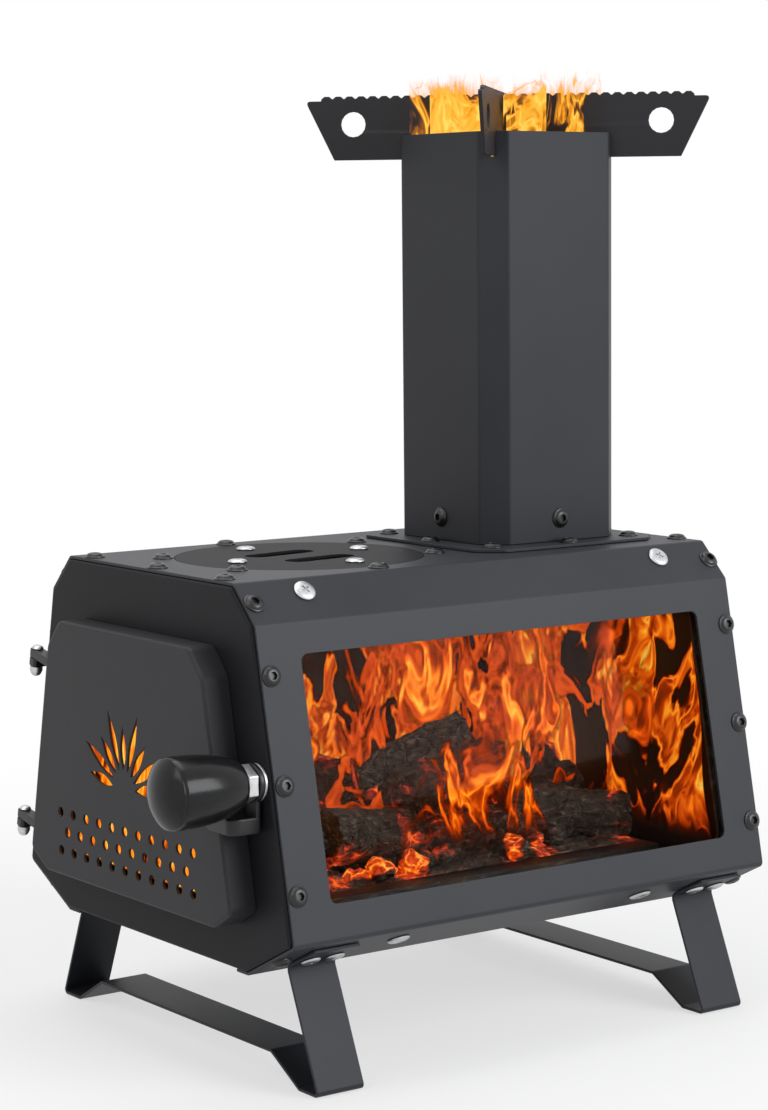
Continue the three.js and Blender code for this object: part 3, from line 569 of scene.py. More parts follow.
FINISHES = {
    "coat": HeatCoat("charcoal_coat", "black_coat"),
    "lid": HeatCoat("lid_coat", "black_coat", (0.012, 0.012, 0.014), 0.56, 2400, 0.09),
    "flue": HeatCoat("flue_coat", "black_coat", (0.0195, 0.0205, 0.0245), 0.5, 2400, 0.26),
    # end plates: the shell's coat made darker, painted shade for the door end that faces away from the light;
    # the flue end takes it too
    "end": HeatCoat("end_coat_painted_shade", "black_coat", (0.0125, 0.012, 0.014), 0.5, 2400, 0.12),
    "door": HeatCoat("door_coat", "black_coat", (0.022, 0.0215, 0.0245), 0.52, 2400, 0.26),
    "leg": HeatCoat("leg_coat", "leg_coat", (0.021, 0.0225, 0.027), 0.46, 2400, 0.22),
    "rack": HeatCoat("rack_coat", "rack_coat", (0.0125, 0.012, 0.0145), 0.5, 2400, 0.3),
    "oxide": HeatCoat("black_oxide", "black_screw", (0.007, 0.007, 0.008), 0.3, 4200, 0.5),
    "lug": HeatCoat("lug_oxide", "black_coat", (0.008, 0.008, 0.009), 0.36, 4200, 0.4),
    "bright": BrightSteel("bright_steel", "bright_steel"),
    "fired": FiredSteel("fired_steel", "bare_steel"),
    "knob": GlossKnob("knob_gloss", "knob_black"),
    "glass": StoveGlass("stove_glass", "glass"),
    "rope": FibreRope("fibre_rope", "gasket"),
    "char": CharredWood("charred_wood", "bare_steel"),
    "embers": CharredWood("ember_bed", "bare_steel", 1.5, 0.47),
    "flame_near": Flame("flame_near", "bare_steel", 3.1, cover=0.51, foot=0.1),
    "flame_middle": Flame("flame_middle", "bare_steel", 5.9, cover=0.46, foot=0.1),
    "flame_far": Flame("flame_far", "bare_steel", 7.7, cover=0.42, strength=0.9),
    "flame_flue_end": Flame("flame_flue_end", "bare_steel", 2.3, cover=0.42, strength=0.9),
    "flame_door_end": Flame("flame_door_end", "bare_steel", 1.3, 0.05, cover=0.33, strength=1.2, lift=0.2),
    "flame_mouth": Flame("flame_mouth", "bare_steel", 4.2, 0.43, 0.497, cover=0.4, strength=1.15, lift=0.55),
}
MATERIALS: dict[str, bpy.types.Material] = {}


def finish_named(key: str) -> bpy.types.Material:
    """Make a finish once.

    Args:
        key: its key in FINISHES.

    Returns:
        Its material.
    """
    if key not in MATERIALS:
        MATERIALS[key] = FINISHES[key].material()
    return MATERIALS[key]


# ---- Lines in a plane ---------------------------------------------------------------------


def meet(p: Vector, d: Vector, q: Vector, e: Vector) -> Vector:
    """Find where two lines cross.

    Args:
        p: a point of the first line.
        d: its direction.
        q: a point of the second line.
        e: its direction.

    Returns:
        The crossing.
    """
    return p + d * ((q - p).cross(e) / d.cross(e))


def moved_in(points: Sequence[Vector], distance: float) -> list[Vector]:
    """Draw an anticlockwise outline in.

    Args:
        points: its corners.
        distance: how far each side moves inwards.

    Returns:
        The new corners.
    """
    count = len(points)
    sides = []
    for i, start in enumerate(points):
        direction = (points[(i + 1) % count] - start).normalized()
        sides.append((start + direction.orthogonal() * distance, direction))
    return [meet(*sides[i - 1], *sides[i]) for i in range(count)]


def flat(*pairs: tuple[float, float]) -> list[Vector]:
    """Points in a plane."""
    return [Vector(pair) for pair in pairs]


def rectangle(left: float, low: float, right: float, high: float) -> list[Vector]:
    """A rectangle's corners, anticlockwise."""
    return flat((left, low), (right, low), (right, high), (left, high))


def cut_square(side: float, chamfer: float) -> list[Vector]:
    """A square with cut corners, anticlockwise.

    Args:
        side: its width.
        chamfer: how much of each side a corner takes.

    Returns:
        Eight corners.
    """
    half, near = side / 2, side / 2 - chamfer
    return flat((near, -half), (half, -near), (half, near), (near, half),
                (-near, half), (-half, near), (-half, -near), (-near, -half))


def arc(radius: float, steps: int, start: float = 0.0, sweep: float = math.tau) -> list[Vector]:
    """Points along an arc about the origin; a full turn leaves out its last one, which is its first.

    Args:
        radius: its radius.
        steps: how many parts it has.
        start: the first point's angle.
        sweep: the angle from the first point to the last.

    Returns:
        The points.
    """
    count = steps if sweep == math.tau else steps + 1
    angles = [start + sweep * k / steps for k in range(count)]
    return [radius * Vector((math.cos(angle), math.sin(angle))) for angle in angles]


def both_sides(half: Sequence[Vector]) -> list[Vector]:
    """Close a right-hand half outline, given upwards, with its mirror image."""
    return list(half) + [Vector((-p.x, p.y)) for p in reversed(half)]


class FoldPath:
    """The outside line of a folded sheet, with an arc at each bend."""

    def __init__(self, corners: Sequence[Vector], radius: float, steps: int = 6) -> None:
        """Lay out the straights and arcs.

        Args:
            corners: the line's corners, from one end to the other.
            radius: the outside radius of its bends.
            steps: cuts across each bend.
        """
        self.spans: list[tuple] = []
        self.cuts: list[float] = []
        self.middles: list[float] = []
        at = 0.0
        start = corners[0]
        trim_before = 0.0
        for i in range(len(corners) - 1):
            direction = (corners[i + 1] - corners[i]).normalized()
            length = (corners[i + 1] - corners[i]).length
            last = i == len(corners) - 2
            after = direction if last else (corners[i + 2] - corners[i + 1]).normalized()
            turn = 0.0 if last else -direction.angle_signed(after)
            trim = 0.0 if last else radius * math.tan(abs(turn) / 2)
            straight = length - trim_before - trim
            self.middles.append(at + length / 2 - trim_before)
            self.spans.append((at, straight, start.copy(), direction, 0.0))
            at += straight
            start = start + direction * straight
            if not last:
                bent = radius * abs(turn)
                self.spans.append((at, bent, start.copy(), direction, turn))
                self.cuts += [at + bent * k / steps for k in range(steps + 1)]
                at += bent
                start = self.point(at)
            trim_before = trim
        self.length = at

    def point(self, s: float) -> Vector:
        """Find a place on the line.

        Args:
            s: the distance from its start.

        Returns:
            The point.
        """
        span = self.spans[0]
        for candidate in self.spans:
            if candidate[0] <= s + 1e-9:
                span = candidate
        begin, length, start, direction, turn = span
        along = s - begin
        if not turn:
            return start + direction * along
        radius = length / abs(turn)
        left = Vector((-direction.y, direction.x)) * math.copysign(1, turn)
        angle = along / radius
        return start + left * radius + (direction * math.sin(angle) - left * math.cos(angle)) * radius


# ---- Bench: flat blanks, folds, turned pieces ------------------------------------------------


class Blank:
    """A flat piece cut from sheet: an outline with holes, then folded, flanged or left flat."""

    def __init__(self, outline: Sequence[Vector], corner: float = 0.0) -> None:
        """Start with the outline.

        Args:
            outline: its corners, anticlockwise.
            corner: radius of every corner.
        """
        self.bm = bmesh.new()
        self.rim: list[bmesh.types.BMVert] = self.polygon(outline, corner)

    def polygon(self, points: Sequence[Vector], corner: float = 0.0,
                steps: int = 6) -> list[bmesh.types.BMVert]:
        """Add a closed line with rounded corners.

        Args:
            points: its corners.
            corner: their radius.
            steps: edges round each corner.

        Returns:
            The line's vertices.
        """
        before = set(self.bm.verts)
        corners = [self.bm.verts.new((p.x, p.y, 0)) for p in points]
        face = self.bm.faces.new(corners)
        if corner > 0:
            bmesh.ops.bevel(self.bm, geom=corners, offset=corner, offset_type="OFFSET", segments=steps,
                            profile=0.5, affect="VERTICES", material=-1)
        faces = [f for f in self.bm.faces if f.is_valid] if corner > 0 else [face]
        bmesh.ops.delete(self.bm, geom=faces, context="FACES_ONLY")
        return [v for v in self.bm.verts if v not in before]

    def hole(self, x: float, y: float, radius: float, steps: int = 24) -> None:
        """Add a round hole.

        Args:
            x: its centre's first coordinate.
            y: its centre's second coordinate.
            radius: its radius.
            steps: edges round it.
        """
        bmesh.ops.create_circle(self.bm, cap_ends=False, segments=steps, radius=radius,
                                matrix=Matrix.Translation((x, y, 0)))

    def fill(self) -> "Blank":
        """Fill the outline round its holes, with the faces turned down.

        Returns:
            The blank itself.
        """
        bmesh.ops.triangle_fill(self.bm, use_beauty=True, use_dissolve=False, edges=self.bm.edges[:],
                                normal=(0, 0, 1))
        up = [f for f in self.bm.faces if f.normal.z > 0]
        bmesh.ops.reverse_faces(self.bm, faces=up)
        return self

    def cut_across(self, places: Iterable[float]) -> None:
        """Split the faces along straight lines.

        Args:
            places: where the lines cross the second axis.
        """
        normal = Vector((0, 1, 0))
        for place in places:
            geom = self.bm.verts[:] + self.bm.edges[:] + self.bm.faces[:]
            bmesh.ops.bisect_plane(self.bm, geom=geom, dist=1e-4, plane_co=normal * place, plane_no=normal)

    def fold(self, path: FoldPath) -> bmesh.types.BMesh:
        """Bend the blank round a path, with its first axis along X.

        Args:
            path: the folded line in (y, z).

        Returns:
            The folded sheet's outside face.
        """
        self.cut_across(path.cuts)
        for vert in self.bm.verts:
            place = path.point(vert.co.y)
            vert.co = (vert.co.x, place.x, place.y)
        return self.bm

    def flanged(self, radius: float, depth: float, steps: int = 5) -> bmesh.types.BMesh:
        """Turn the rim down all round, away from +Z.

        Args:
            radius: the bend's outside radius.
            depth: from the flat face to the flange's edge.
            steps: edges across the bend.

        Returns:
            The dished sheet's outside face, facing +Z.
        """
        bmesh.ops.reverse_faces(self.bm, faces=self.bm.faces[:])
        rim = set(self.rim)
        edges = [e for e in self.bm.edges if e.is_boundary and e.verts[0] in rim and e.verts[1] in rim]
        outwards: dict[bmesh.types.BMVert, Vector] = {}
        for vert in {v for e in edges for v in e.verts}:
            near = [e for e in vert.link_edges if e in edges]
            normals = []
            for edge in near:
                run = (edge.other_vert(vert).co - vert.co).normalized()
                side = Vector((run.y, -run.x, 0))
                middle = edge.link_faces[0].calc_center_median()
                normals.append(side if side.dot(middle - vert.co) < 0 else -side)
            total = normals[0] + normals[1]
            outwards[vert] = total / (1 + normals[0].dot(normals[1]))
        stages = [(radius * math.sin(a), radius * (1 - math.cos(a)))
                  for a in (math.pi / 2 * k / steps for k in range(1, steps + 1))]
        stages.append((radius, depth))
        reach, drop = 0.0, 0.0
        for next_reach, next_drop in stages:
            grown = bmesh.ops.extrude_edge_only(self.bm, edges=edges)["geom"]
            new = [g for g in grown if isinstance(g, bmesh.types.BMVert)]
            renewed = {}
            for vert in new:
                source = next(e.other_vert(vert) for e in vert.link_edges if e.other_vert(vert) in outwards)
                way = outwards[source]
                vert.co = source.co + way * (next_reach - reach) - Vector((0, 0, next_drop - drop))
                renewed[vert] = way
            outwards = renewed
            edges = [g for g in grown if isinstance(g, bmesh.types.BMEdge) and g.is_boundary]
            reach, drop = next_reach, next_drop
        bmesh.ops.recalc_face_normals(self.bm, faces=self.bm.faces[:])
        top = max(self.bm.faces, key=lambda f: f.calc_area())
        if top.normal.z < 0:
            bmesh.ops.reverse_faces(self.bm, faces=self.bm.faces[:])
        return self.bm

    def plate(self) -> bmesh.types.BMesh:
        """Leave the blank flat, facing +Z."""
        bmesh.ops.reverse_faces(self.bm, faces=self.bm.faces[:])
        return self.bm


def turned(profile: Sequence[tuple[float, float]], steps: int = 32) -> bmesh.types.BMesh:
    """Spin a profile about Z.

    Args:
        profile: (radius, height) pairs from the lower end to the upper one.
        steps: faces round the axis.

    Returns:
        The turned piece, with its poles closed.
    """
    bm = bmesh.new()
    verts = [bm.verts.new((r, 0, z)) for r, z in profile]
    edges = [bm.edges.new(pair) for pair in zip(verts, verts[1:])]
    bmesh.ops.spin(bm, geom=verts + edges, cent=(0, 0, 0), axis=(0, 0, 1), dvec=(0, 0, 0),
                   angle=math.tau, steps=steps, use_merge=True)
    bmesh.ops.remove_doubles(bm, verts=bm.verts[:], dist=1e-4)
    bmesh.ops.recalc_face_normals(bm, faces=bm.faces[:])
    return bm


def stood_up(sheet: bmesh.types.BMesh, way: int) -> bmesh.types.BMesh:
    """Stand a pressed plate up across the firebox, facing out.

    Args:
        sheet: the plate, facing +Z.
        way: -1 at the door end and 1 at the flue end.

    Returns:
        The plate.
    """
    turn = Matrix(((0, 0, way, 0), (1, 0, 0, 0), (0, 1, 0, 0), (0, 0, 0, 1)))
    bmesh.ops.transform(sheet, matrix=turn, verts=sheet.verts[:])
    if turn.determinant() < 0:
        bmesh.ops.reverse_faces(sheet, faces=sheet.faces[:])
    return sheet


def turned_ring(inner: float, outer: float, low: float, high: float, steps: int) -> bmesh.types.BMesh:
    """Turn a flat ring.

    Args:
        inner: its inner radius.
        outer: its outer radius.
        low: its lower face.
        high: its upper face.
        steps: faces round the axis.

    Returns:
        The ring.
    """
    return turned([(inner, low), (outer, low), (outer, high), (inner, high), (inner, low)], steps)


class Recess(Enum):
    """The driver recess of a screw."""

    HEX = "hex"
    CROSS = "cross"


def recess_radius(kind: Recess, angle: float, size: float) -> float:
    """The distance from a recess's middle to its wall.

    Args:
        kind: hex or cross.
        angle: direction from the middle.
        size: half the hexagon's width, or half the cross's length.

    Returns:
        The distance.
    """
    if kind is Recess.HEX:
        return size / math.cos((angle % (math.pi / 3)) - math.pi / 6)
    quarter = (angle % (math.pi / 2)) - math.pi / 4
    off = math.pi / 4 - abs(quarter)
    arm = size / max(math.cos(off), 1e-6)
    web = size * 0.2 / max(math.sin(off), 1e-6)
    return min(arm, web)


def screw_head(profile: Sequence[tuple[float, float]], kind: Recess, size: float, depth: float,
               steps: int = 24) -> bmesh.types.BMesh:
    """A screw's head with its driver recess, standing on Z 0.

    Args:
        profile: (radius, height) pairs up to the recess's edge.
        kind: hex or cross.
        size: half the recess's width.
        depth: the recess's depth.
        steps: faces round the axis.

    Returns:
        The head.
    """
    bm = turned(profile, steps)
    top = max(v.co.z for v in bm.verts)
    loop = [e for e in bm.edges if e.is_boundary and all(v.co.z > top - 1e-3 for v in e.verts)]
    for drop in (0.0, depth):
        grown = bmesh.ops.extrude_edge_only(bm, edges=loop)["geom"]
        for vert in (g for g in grown if isinstance(g, bmesh.types.BMVert)):
            reach = recess_radius(kind, math.atan2(vert.co.y, vert.co.x), size)
            flat_way = Vector((vert.co.x, vert.co.y, 0)).normalized()
            vert.co = flat_way * reach * (0.92 if drop else 1.0) + Vector((0, 0, top - drop))
        loop = [g for g in grown if isinstance(g, bmesh.types.BMEdge) and g.is_boundary]
    bmesh.ops.edgeloop_fill(bm, edges=loop)
    bmesh.ops.recalc_face_normals(bm, faces=bm.faces[:])
    return bm


def meshed(name: str, bm: bmesh.types.BMesh) -> bpy.types.Mesh:
    """Take a mesh off the bench.

    Args:
        name: its name.
        bm: the bench mesh; it is used up.

    Returns:
        The mesh.
    """
    mesh = bpy.data.meshes.new(name)
    bm.to_mesh(mesh)
    bm.free()
    return mesh


def placed(name: str, data: bpy.types.ID) -> bpy.types.Object:
    """Put a new object into the scene.

    Args:
        name: its name.
        data: its mesh, camera or lamp.

    Returns:
        The object.
    """
    thing = bpy.data.objects.new(name, data)
    bpy.context.scene.collection.objects.link(thing)
    return thing


def repeated(source: bmesh.types.BMesh, places: Iterable[Matrix]) -> bmesh.types.BMesh:
    """Copy a piece to several places as one mesh.

    Args:
        source: the piece; it is used up.
        places: where each copy goes.

    Returns:
        The copies.
    """
    mesh = meshed("copy", source)
    bm = bmesh.new()
    for place in places:
        known = len(bm.verts)
        bm.from_mesh(mesh)
        bm.verts.ensure_lookup_table()
        bmesh.ops.transform(bm, matrix=place, verts=bm.verts[known:])
    bpy.data.meshes.remove(mesh)
    return bm


def soften(thing: bpy.types.Object, width: float) -> None:
    """Round a piece's sharp edges a little.

    Args:
        thing: the piece.
        width: the bevel's width.
    """
    soft = thing.modifiers.new("edge", "BEVEL")
    soft.width = width * MM
    soft.segments = 2
    soft.limit_method = "ANGLE"
    soft.angle_limit = SHARP_BEND
    soft.use_clamp_overlap = False


@dataclass
class Piece:
    """How a finished piece leaves the bench."""

    name: str
    body: Body
    finish: str
    stands_for: tuple[str, ...] = ()
    wall: float = 0.0
    edge: float = 0.25
    smooth_angle: float = 40.0

    def deliver(self, bm: bmesh.types.BMesh, place: Matrix | None = None) -> bpy.types.Object:
        """Turn a bench mesh into a finished object of the scene.

        Args:
            bm: the mesh in millimetres; it is used up.
            place: where it goes in the firebox's frame.

        Returns:
            The object.
        """
        bmesh.ops.transform(bm, matrix=TO_FRAME @ (place or Matrix.Identity(4)), verts=bm.verts[:])
        mesh = meshed(self.name, bm)
        mesh.shade_smooth()
        mesh.set_sharp_from_angle(angle=math.radians(self.smooth_angle))
        thing = placed(self.name, mesh)
        if self.wall:
            solid = thing.modifiers.new("wall", "SOLIDIFY")
            solid.thickness = self.wall * MM
            solid.offset = -1
            solid.use_even_offset = True
        if self.edge:
            soften(thing, self.edge)
            even = thing.modifiers.new("even", "WEIGHTED_NORMAL")
            even.weight = 90
        mesh.materials.append(finish_named(self.finish))
        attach(thing, self.body.value)
        if self.stands_for:
            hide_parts(*self.stands_for)
        LOG.info("%s: %d faces, rides on %s", self.name, len(mesh.polygons), self.body.value)
        return thing


def set_screw(name: str, node: str, head: bmesh.types.BMesh, place: Matrix, finish: str = "bright",
              body: Body = Body.FIREBOX) -> None:
    """Set one screw that stands for a node of its own.

    Args:
        name: the piece.
        node: the node.
        head: the screw, with its head standing on Z 0.
        place: the frame of its seat.
        finish: its finish.
        body: what it rides on.
    """
    Piece(name, body, finish, (node,), edge=0).deliver(head, place)


def dress(node: str, finish: str) -> None:
    """Give a CAD node its finish.

    Args:
        node: the node's name.
        finish: the key of its finish.
    """
    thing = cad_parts[node]
    thing.data.materials.clear()
    thing.data.materials.append(finish_named(finish))
    LOG.info("%s: dressed in %s", node, finish)


# ---- The firebox's walls ------------------------------------------------------------------


@dataclass
class Section:
    """The firebox's cross-section and the places on its walls."""

    bottom: float = 86.0
    hip: tuple[float, float] = (126.5, 75.5)
    shoulder: tuple[float, float] = (96.5, 225.0)
    top: float = 78.0
    ground: float = 55.0
    names: tuple[str, ...] = (
        "lower_back", "back", "upper_back", "top", "upper_front", "front", "lower_front", "bottom")
    corners: list[Vector] = field(init=False)

    def __post_init__(self) -> None:
        """Work out the outline's corners, anticlockwise in (y, z)."""
        self.corners = both_sides(flat((self.bottom, self.ground), self.hip, self.shoulder,
                                       (self.top, BODY_TOP)))

    def wall(self, name: str) -> tuple[Vector, Vector]:
        """A wall's two ends."""
        i = self.names.index(name)
        return self.corners[i], self.corners[(i + 1) % len(self.corners)]

    def on(self, name: str, x: float, across: float = 0.0, proud: float = 0.0) -> Matrix:
        """The frame of a place on a wall, with Z straight out.

        Args:
            name: the wall.
            x: place along the firebox.
            across: distance from the wall's middle.
            proud: height over its outside face.

        Returns:
            The frame.
        """
        start, end = self.wall(name)
        run = (end - start).normalized()
        out = Vector((0, run.y, -run.x))
        side = out.cross(Vector((1, 0, 0)))
        middle = (start + end) / 2
        turn = Matrix((Vector((1, 0, 0)), side, out)).transposed().to_4x4()
        return Matrix.Translation((0, middle.x, middle.y)) @ turn @ Matrix.Translation((x, across, proud))

    def half_width(self, z: float) -> float:
        """Half the firebox's width between its hips and shoulders."""
        slope = (self.hip[0] - self.shoulder[0]) / (self.shoulder[1] - self.hip[1])
        return self.shoulder[0] + (self.shoulder[1] - z) * slope


SECTION = Section()
TILT = math.atan2(SECTION.hip[0] - SECTION.shoulder[0], SECTION.shoulder[1] - SECTION.hip[1])


def button_head() -> bmesh.types.BMesh:
    """A black button head with a hex socket."""
    return screw_head([(0, 0), (5.1, 0), (5.25, 0.15), (5.2, 0.55), (4.95, 0.75), (4.6, 0.85), (4.2, 1.5),
                       (3.6, 2.0), (2.9, 2.3), (2.4, 2.35)], Recess.HEX, 1.9, 1.6)


def truss_head(radius: float = 4.9) -> bmesh.types.BMesh:
    """A bright truss head with a cross recess and its shank.

    Args:
        radius: the head's radius.

    Returns:
        The screw, with its head standing on Z 0.
    """
    rise = [(0.97, 0), (1.0, 0.25), (0.97, 0.65), (0.86, 1.1), (0.68, 1.4), (0.5, 1.55), (0.44, 1.58)]
    crown = [(radius * share, height) for share, height in rise]
    return screw_head([(0, -8), (2, -7.8), (2, 0), *crown], Recess.CROSS, radius * 0.4, 0.8, 32)


# ---- Sub-assemblies -----------------------------------------------------------------------


@dataclass
class Firebox:
    """Folded shell, end plates, window and the screws that hold them."""

    bend: float = 3.0
    lip: float = 10.0
    window: tuple[float, float] = (250.0, 119.0)
    window_raise: float = 1.2
    window_corner: float = 4.0
    screw_rows: tuple[float, float] = (DOOR_END + 7, -DOOR_END - 5.5)
    side_pitch: float = 52.0
    top_pitch: float = 62.0
    flange: float = 12.0
    end_bend: float = 1.6
    end_corners: tuple[float, float] = (1.0, 3.0)
    lid_opening: float = 64.35
    window_screws: tuple[tuple[str, float], ...] = (
        ("upper_front", -112.0), ("upper_front", 112.0), ("lower_front", -77.0), ("lower_front", 77.0))
    window_screw_rise: float = 4.5
    window_head: float = 5.7
    window_turn: float = 0.5

    def build(self) -> None:
        """Make every piece of the firebox."""
        self.shell()
        self.end("door_end_pressed", "door_end_plate", -1)
        self.end("flue_end_pressed", "chimney_end_plate", 1)
        for name, x in zip(("door_end_screws", "flue_end_screws"), self.screw_rows):
            Piece(name, Body.FIREBOX, "oxide", edge=0).deliver(repeated(button_head(), self.end_screws(x)))
        for i, (wall, x) in enumerate(self.window_screws, 1):
            place = SECTION.on(wall, x, self.window_screw_rise, GAP)
            place @= Matrix.Rotation(self.window_turn * i, 4, "Z")
            set_screw(f"window_truss_{i}", f"window_screw_{i}", truss_head(self.window_head), place)
        for node, finish in (("window_glass", "glass"), ("glass_gasket", "rope"), ("glass_retainer", "fired"),
                             ("floor_panel", "fired"), ("fire_grate", "fired")):
            dress(node, finish)

    def end_screws(self, x: float) -> list[Matrix]:
        """Where one end's black screws stand.

        Args:
            x: their row along the firebox.

        Returns:
            Their frames.
        """
        places = [("top", across) for across in (-self.top_pitch, 0, self.top_pitch)]
        places += [(name, 0) for name in ("upper_front", "upper_back", "lower_front", "lower_back")]
        places += [(name, row * self.side_pitch) for name in ("front", "back") for row in (-1, 0, 1)]
        return [SECTION.on(name, x, across, SEATED) for name, across in places]

    def shell(self) -> None:
        """Fold the shell round the top, sides and lower chamfers, with its window, lid and flue openings."""
        reach = SECTION.bottom - self.lip
        first, last = flat((reach, SECTION.ground), (-reach, SECTION.ground))
        path = FoldPath([first, *SECTION.corners, last], self.bend)
        blank = Blank(rectangle(DOOR_END + SHEET, 0, -DOOR_END - SHEET, path.length))
        front = path.middles[1 + SECTION.names.index("front")] - self.window_raise
        top = path.middles[1 + SECTION.names.index("top")]
        x, y = self.window[0] / 2, self.window[1] / 2
        blank.polygon(rectangle(-x, front - y, x, front + y), self.window_corner)
        blank.hole(LID_X, top, self.lid_opening, ROUND)
        blank.polygon(Flue().square(top, 2 * SHEET + GAP))
        piece = Piece("shell_folded", Body.FIREBOX, "coat", ("outer_shell",), SHEET, 0.2)
        piece.deliver(blank.fill().fold(path))

    def end(self, name: str, node: str, way: int) -> None:
        """Press one end plate.

        Args:
            name: the piece.
            node: the node that it stands for.
            way: -1 at the door end and 1 at the flue end.
        """
        rim, opening = self.end_corners
        blank = Blank(moved_in(SECTION.corners, SHEET + GAP + self.end_bend), rim)
        if way < 0:
            blank.polygon(moved_in(Door().outline(), Door().overlap), opening)
        sheet = stood_up(blank.fill().flanged(self.end_bend, self.flange), way)
        place = Matrix.Translation((way * -DOOR_END, 0, 0))
        # both end plates wear the darker coat, which holds painted shade
        Piece(name, Body.FIREBOX, "end", (node,), SHEET, 0.2).deliver(sheet, place)


@dataclass
class Legs:
    """Two bent straps and their screws."""

    width: float = 27.0
    sheet: float = 1.5
    bend: float = 2.4
    corner: float = 1.2
    places: tuple[tuple[str, float], ...] = (
        ("leg_door_end", DOOR_END + 30.5), ("leg_chimney_end", -DOOR_END - 25.5))
    spread: float = 122.5
    foot: float = 17.5
    brace: tuple[float, float] = (81.0, 13.5)
    tab: tuple[float, float] = (12.0, 8.4)
    pitch: float = 14.0
    screw_turn: float = 0.7

    def build(self) -> None:
        """Bend both straps and set their screws."""
        start, end = SECTION.wall("lower_front")
        run = (end - start).normalized()
        out = Vector((run.y, -run.x)) * (GAP + self.sheet)
        front = [start + out + run * self.tab[1], end + out - run * self.tab[0], *flat(
            (-self.spread, 0), (-self.spread + self.foot, 0), (-self.brace[0], self.brace[1]))]
        corners = front + [Vector((-p.x, p.y)) for p in reversed(front)]
        number = 0
        for node, x in self.places:
            path = FoldPath(corners, self.bend)
            blank = Blank(rectangle(x - self.width / 2, 0, x + self.width / 2, path.length), self.corner)
            strap = Piece(f"{node}_strap", Body.FIREBOX, "leg", (node,), self.sheet, 0.3)
            strap.deliver(blank.fill().fold(path))
            for wall in ("lower_front", "lower_back"):
                for side in (-1, 1):
                    number += 1
                    place = SECTION.on(wall, x + side * self.pitch / 2, 0, 2 * GAP + self.sheet)
                    place @= Matrix.Rotation(self.screw_turn * number, 4, "Z")
                    set_screw(f"leg_truss_{number}", f"leg_screw_{number}", truss_head(), place)


@dataclass
class CookingLid:
    """The flush lid with its lifter slots, and the ring that it sits on."""

    radius: float = 64.0
    slot: tuple[float, float] = (43.0, 14.0)
    slot_spacing: float = 31.0
    slot_round: float = 0.98
    screws: float = 42.0
    turn: float = 8.0
    screw_turn: float = 0.9
    ring: tuple[float, float] = (57.0, 76.0)
    ring_screws: float = 70.0

    def build(self) -> None:
        """Make the lid, its screws and its seat."""
        blank = Blank(arc(self.radius, ROUND))
        x, y = self.slot[0] / 2, self.slot[1] / 2
        turn = Matrix.Rotation(math.radians(self.turn), 2)
        for side in (-1, 1):
            mid = side * self.slot_spacing / 2
            blank.polygon([turn @ p for p in rectangle(-x, mid - y, x, mid + y)], y * self.slot_round)
        on_lid = Matrix.Translation((LID_X, 0, BODY_TOP))
        Piece("lid_disc", Body.LID, "lid", ("cooking_lid",), SHEET, 0.2).deliver(blank.fill().plate(), on_lid)
        for i, spot in enumerate(arc(self.screws, 4, math.radians(self.turn))):
            place = on_lid @ Matrix.Translation((*spot, GAP)) @ Matrix.Rotation(self.screw_turn * i, 4, "Z")
            set_screw(f"lid_truss_{i + 1}", f"lid_screw_{i + 1}", truss_head(), place, body=Body.LID)
        low = -2 * SHEET - GAP
        seat = turned_ring(*self.ring, low, low + SHEET, ROUND)
        Piece("lid_seat", Body.FIREBOX, "coat", ("lid_seat_ring",), edge=0.2).deliver(seat, on_lid)
        spots = arc(self.ring_screws, 6, math.tau / 12)
        places = [on_lid @ Matrix.Translation((*spot, SEATED)) for spot in spots]
        Piece("lid_seat_screws", Body.FIREBOX, "oxide", edge=0).deliver(repeated(button_head(), places))
        dress("lid_under_pan", "fired")


